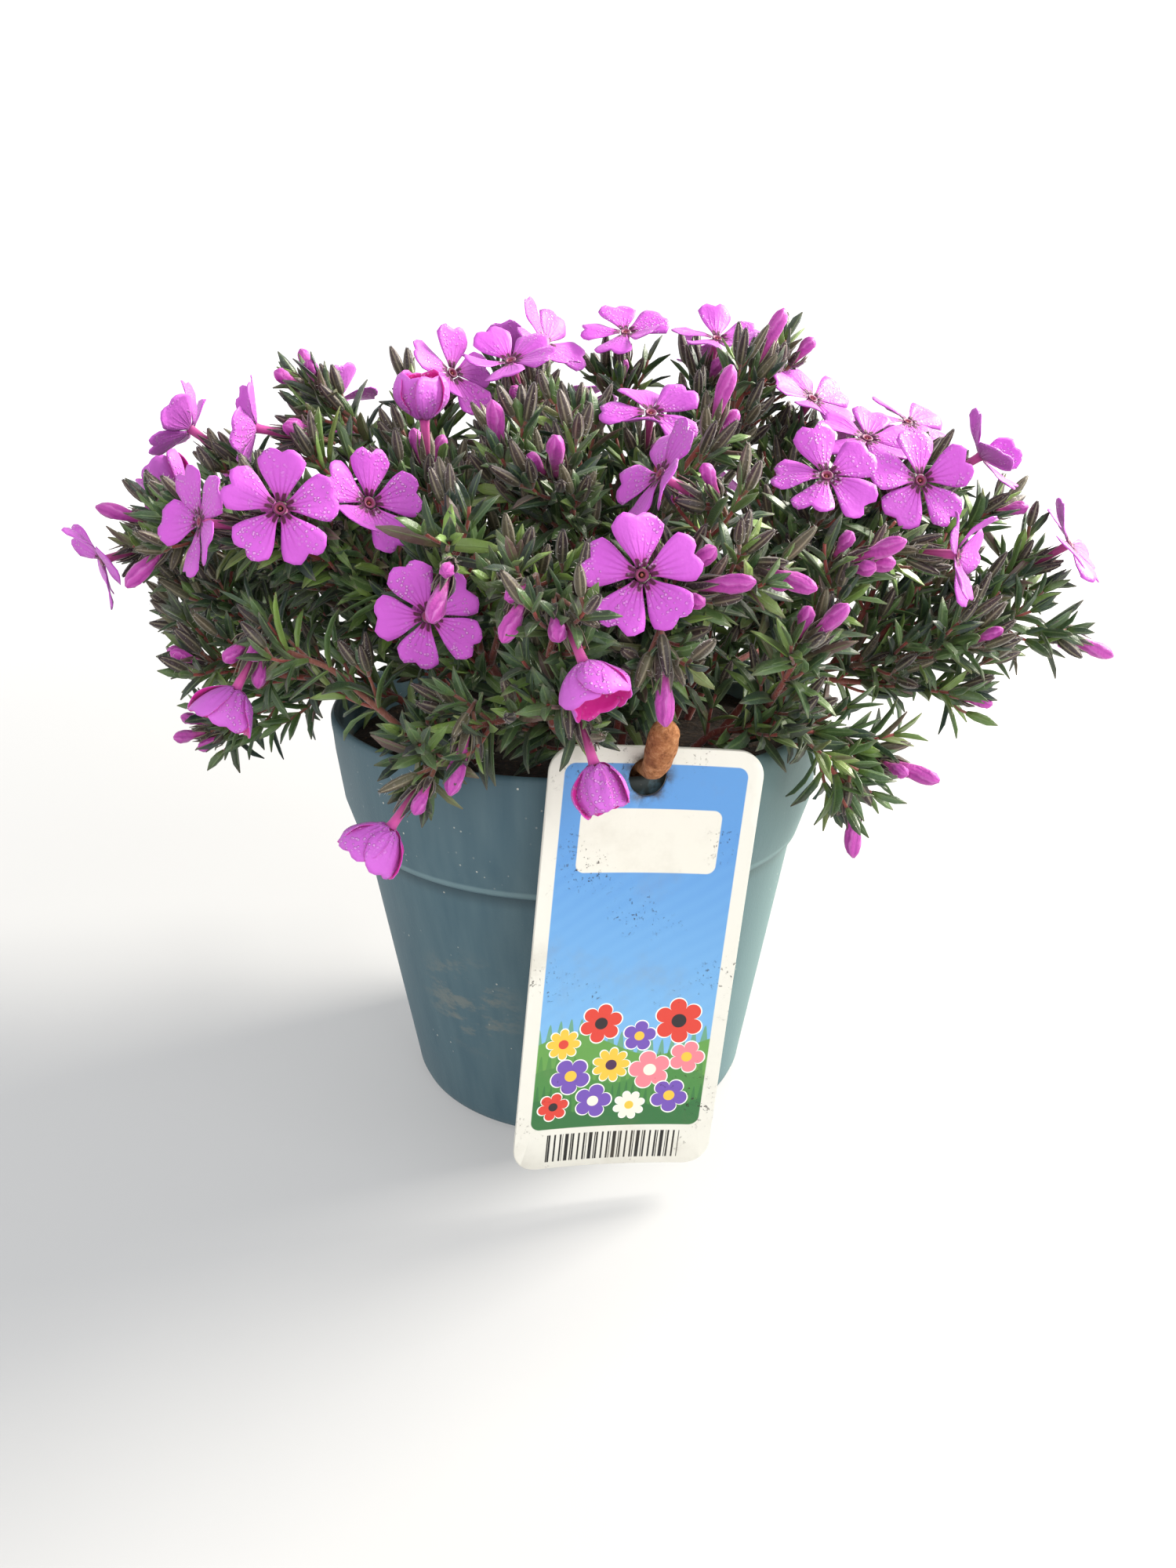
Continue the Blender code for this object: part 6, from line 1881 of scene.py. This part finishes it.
class PHLOX_OT_stage(bpy.types.Operator):
    """Makes the pale floor, the soft lights and the camera at the photograph's angle"""

    bl_idname = "phlox.stage"
    bl_label = "Stage"

    def execute(self, context):
        settings = context.scene.phlox_stage
        reach = np.linspace(0.001, FLOOR_REACH, FLOOR_ROWS)
        rise = np.maximum(reach - FLAT_REACH, 0) ** 2 * 1.1
        points = turned_rings(np.column_stack((reach, rise)) / MM, FLOOR_SIDES)[0][::-1]
        k, row = np.arange(FLOOR_SIDES), FLOOR_SIDES * np.arange(FLOOR_ROWS - 1)[:, None]
        after, below = (k + 1) % FLOOR_SIDES, row + FLOOR_SIDES
        quads = np.stack((row + k, row + after, below + after, below + k), axis=-1)
        mass = Mass()
        mass.add(points.reshape(-1, 3), quads.reshape(-1, 4), NO_TRIS)
        plain_object("floor", mass.mesh("floor"), [floor_white()])
        context.scene.view_settings.view_transform = "Standard"
        self.lamp("sun", SUN_PLACE, 0.55, settings.sun, (1.0, 0.95, 0.86))
        self.lamp("fill", FILL_PLACE, 1.2, settings.fill, (0.96, 0.98, 1.0))
        world = bpy.data.worlds.new("surround")
        world.use_nodes = True
        background = world.node_tree.nodes["Background"]
        background.inputs["Color"].default_value = (0.88, 0.94, 1.0, 1.0)
        background.inputs["Strength"].default_value = settings.sky
        context.scene.world = world
        camera = bpy.data.objects.new("camera", bpy.data.cameras.new("camera"))
        camera.data.lens, camera.data.sensor_width = settings.lens, SENSOR_WIDTH
        camera.data.clip_start, camera.data.clip_end = 0.01, 50.0
        camera.location = CAMERA_PLACE
        camera.rotation_euler = (math.radians(CAMERA_TILT), 0.0, 0.0)
        context.scene.collection.objects.link(camera)
        context.scene.camera = camera
        return {"FINISHED"}

    def lamp(self, name, place, size, power, colour):
        """A square soft light that faces the plant."""
        data = bpy.data.lights.new(name, "AREA")
        data.size, data.energy, data.color = size, power, colour
        lamp = bpy.data.objects.new(name, data)
        lamp.location = place
        toward = np.array(LAMPS_AIM) - np.array(place)
        tilt = math.atan2(math.hypot(toward[0], toward[1]), -toward[2])
        turn = math.atan2(toward[1], toward[0]) - math.pi / 2
        lamp.rotation_euler = (tilt, 0.0, turn)
        bpy.context.scene.collection.objects.link(lamp)


class PHLOX_PT_panel(bpy.types.Panel):
    """Lists the settings and the pieces"""

    bl_label = "Potted moss phlox"
    bl_idname = "PHLOX_PT_panel"
    bl_space_type = "VIEW_3D"
    bl_region_type = "UI"
    bl_category = "Phlox"

    def draw(self, context):
        groups = (("phlox_pot", (PHLOX_OT_pot, PHLOX_OT_soil, PHLOX_OT_label)),
                  ("phlox_plant", (PHLOX_OT_foliage, PHLOX_OT_blooms)), ("phlox_stage", (PHLOX_OT_stage,)))
        for group, operators in groups:
            column = self.layout.column()
            settings = getattr(context.scene, group)
            for name in settings.__annotations__:
                column.prop(settings, name)
            for operator in operators:
                column.operator(operator.bl_idname)


SETTINGS = (
    ("phlox_pot", PhloxPotSettings),
    ("phlox_plant", PhloxPlantSettings),
    ("phlox_stage", PhloxStageSettings),
)
OPERATORS = (PHLOX_OT_stage, PHLOX_OT_pot, PHLOX_OT_soil, PHLOX_OT_label, PHLOX_OT_foliage, PHLOX_OT_blooms)


def register():
    for name, group in SETTINGS:
        bpy.utils.register_class(group)
        setattr(bpy.types.Scene, name, PointerProperty(type=group))
    for made in (*OPERATORS, PHLOX_PT_panel):
        bpy.utils.register_class(made)


def unregister():
    for made in (PHLOX_PT_panel, *OPERATORS[::-1]):
        bpy.utils.unregister_class(made)
    for name, group in SETTINGS:
        delattr(bpy.types.Scene, name)
        bpy.utils.unregister_class(group)


def main():
    register()
    bpy.ops.phlox.stage()
    bpy.ops.phlox.pot()
    bpy.ops.phlox.soil()
    bpy.ops.phlox.label()
    bpy.ops.phlox.foliage()
    bpy.ops.phlox.blooms()


if __name__ == "__main__":
    main()
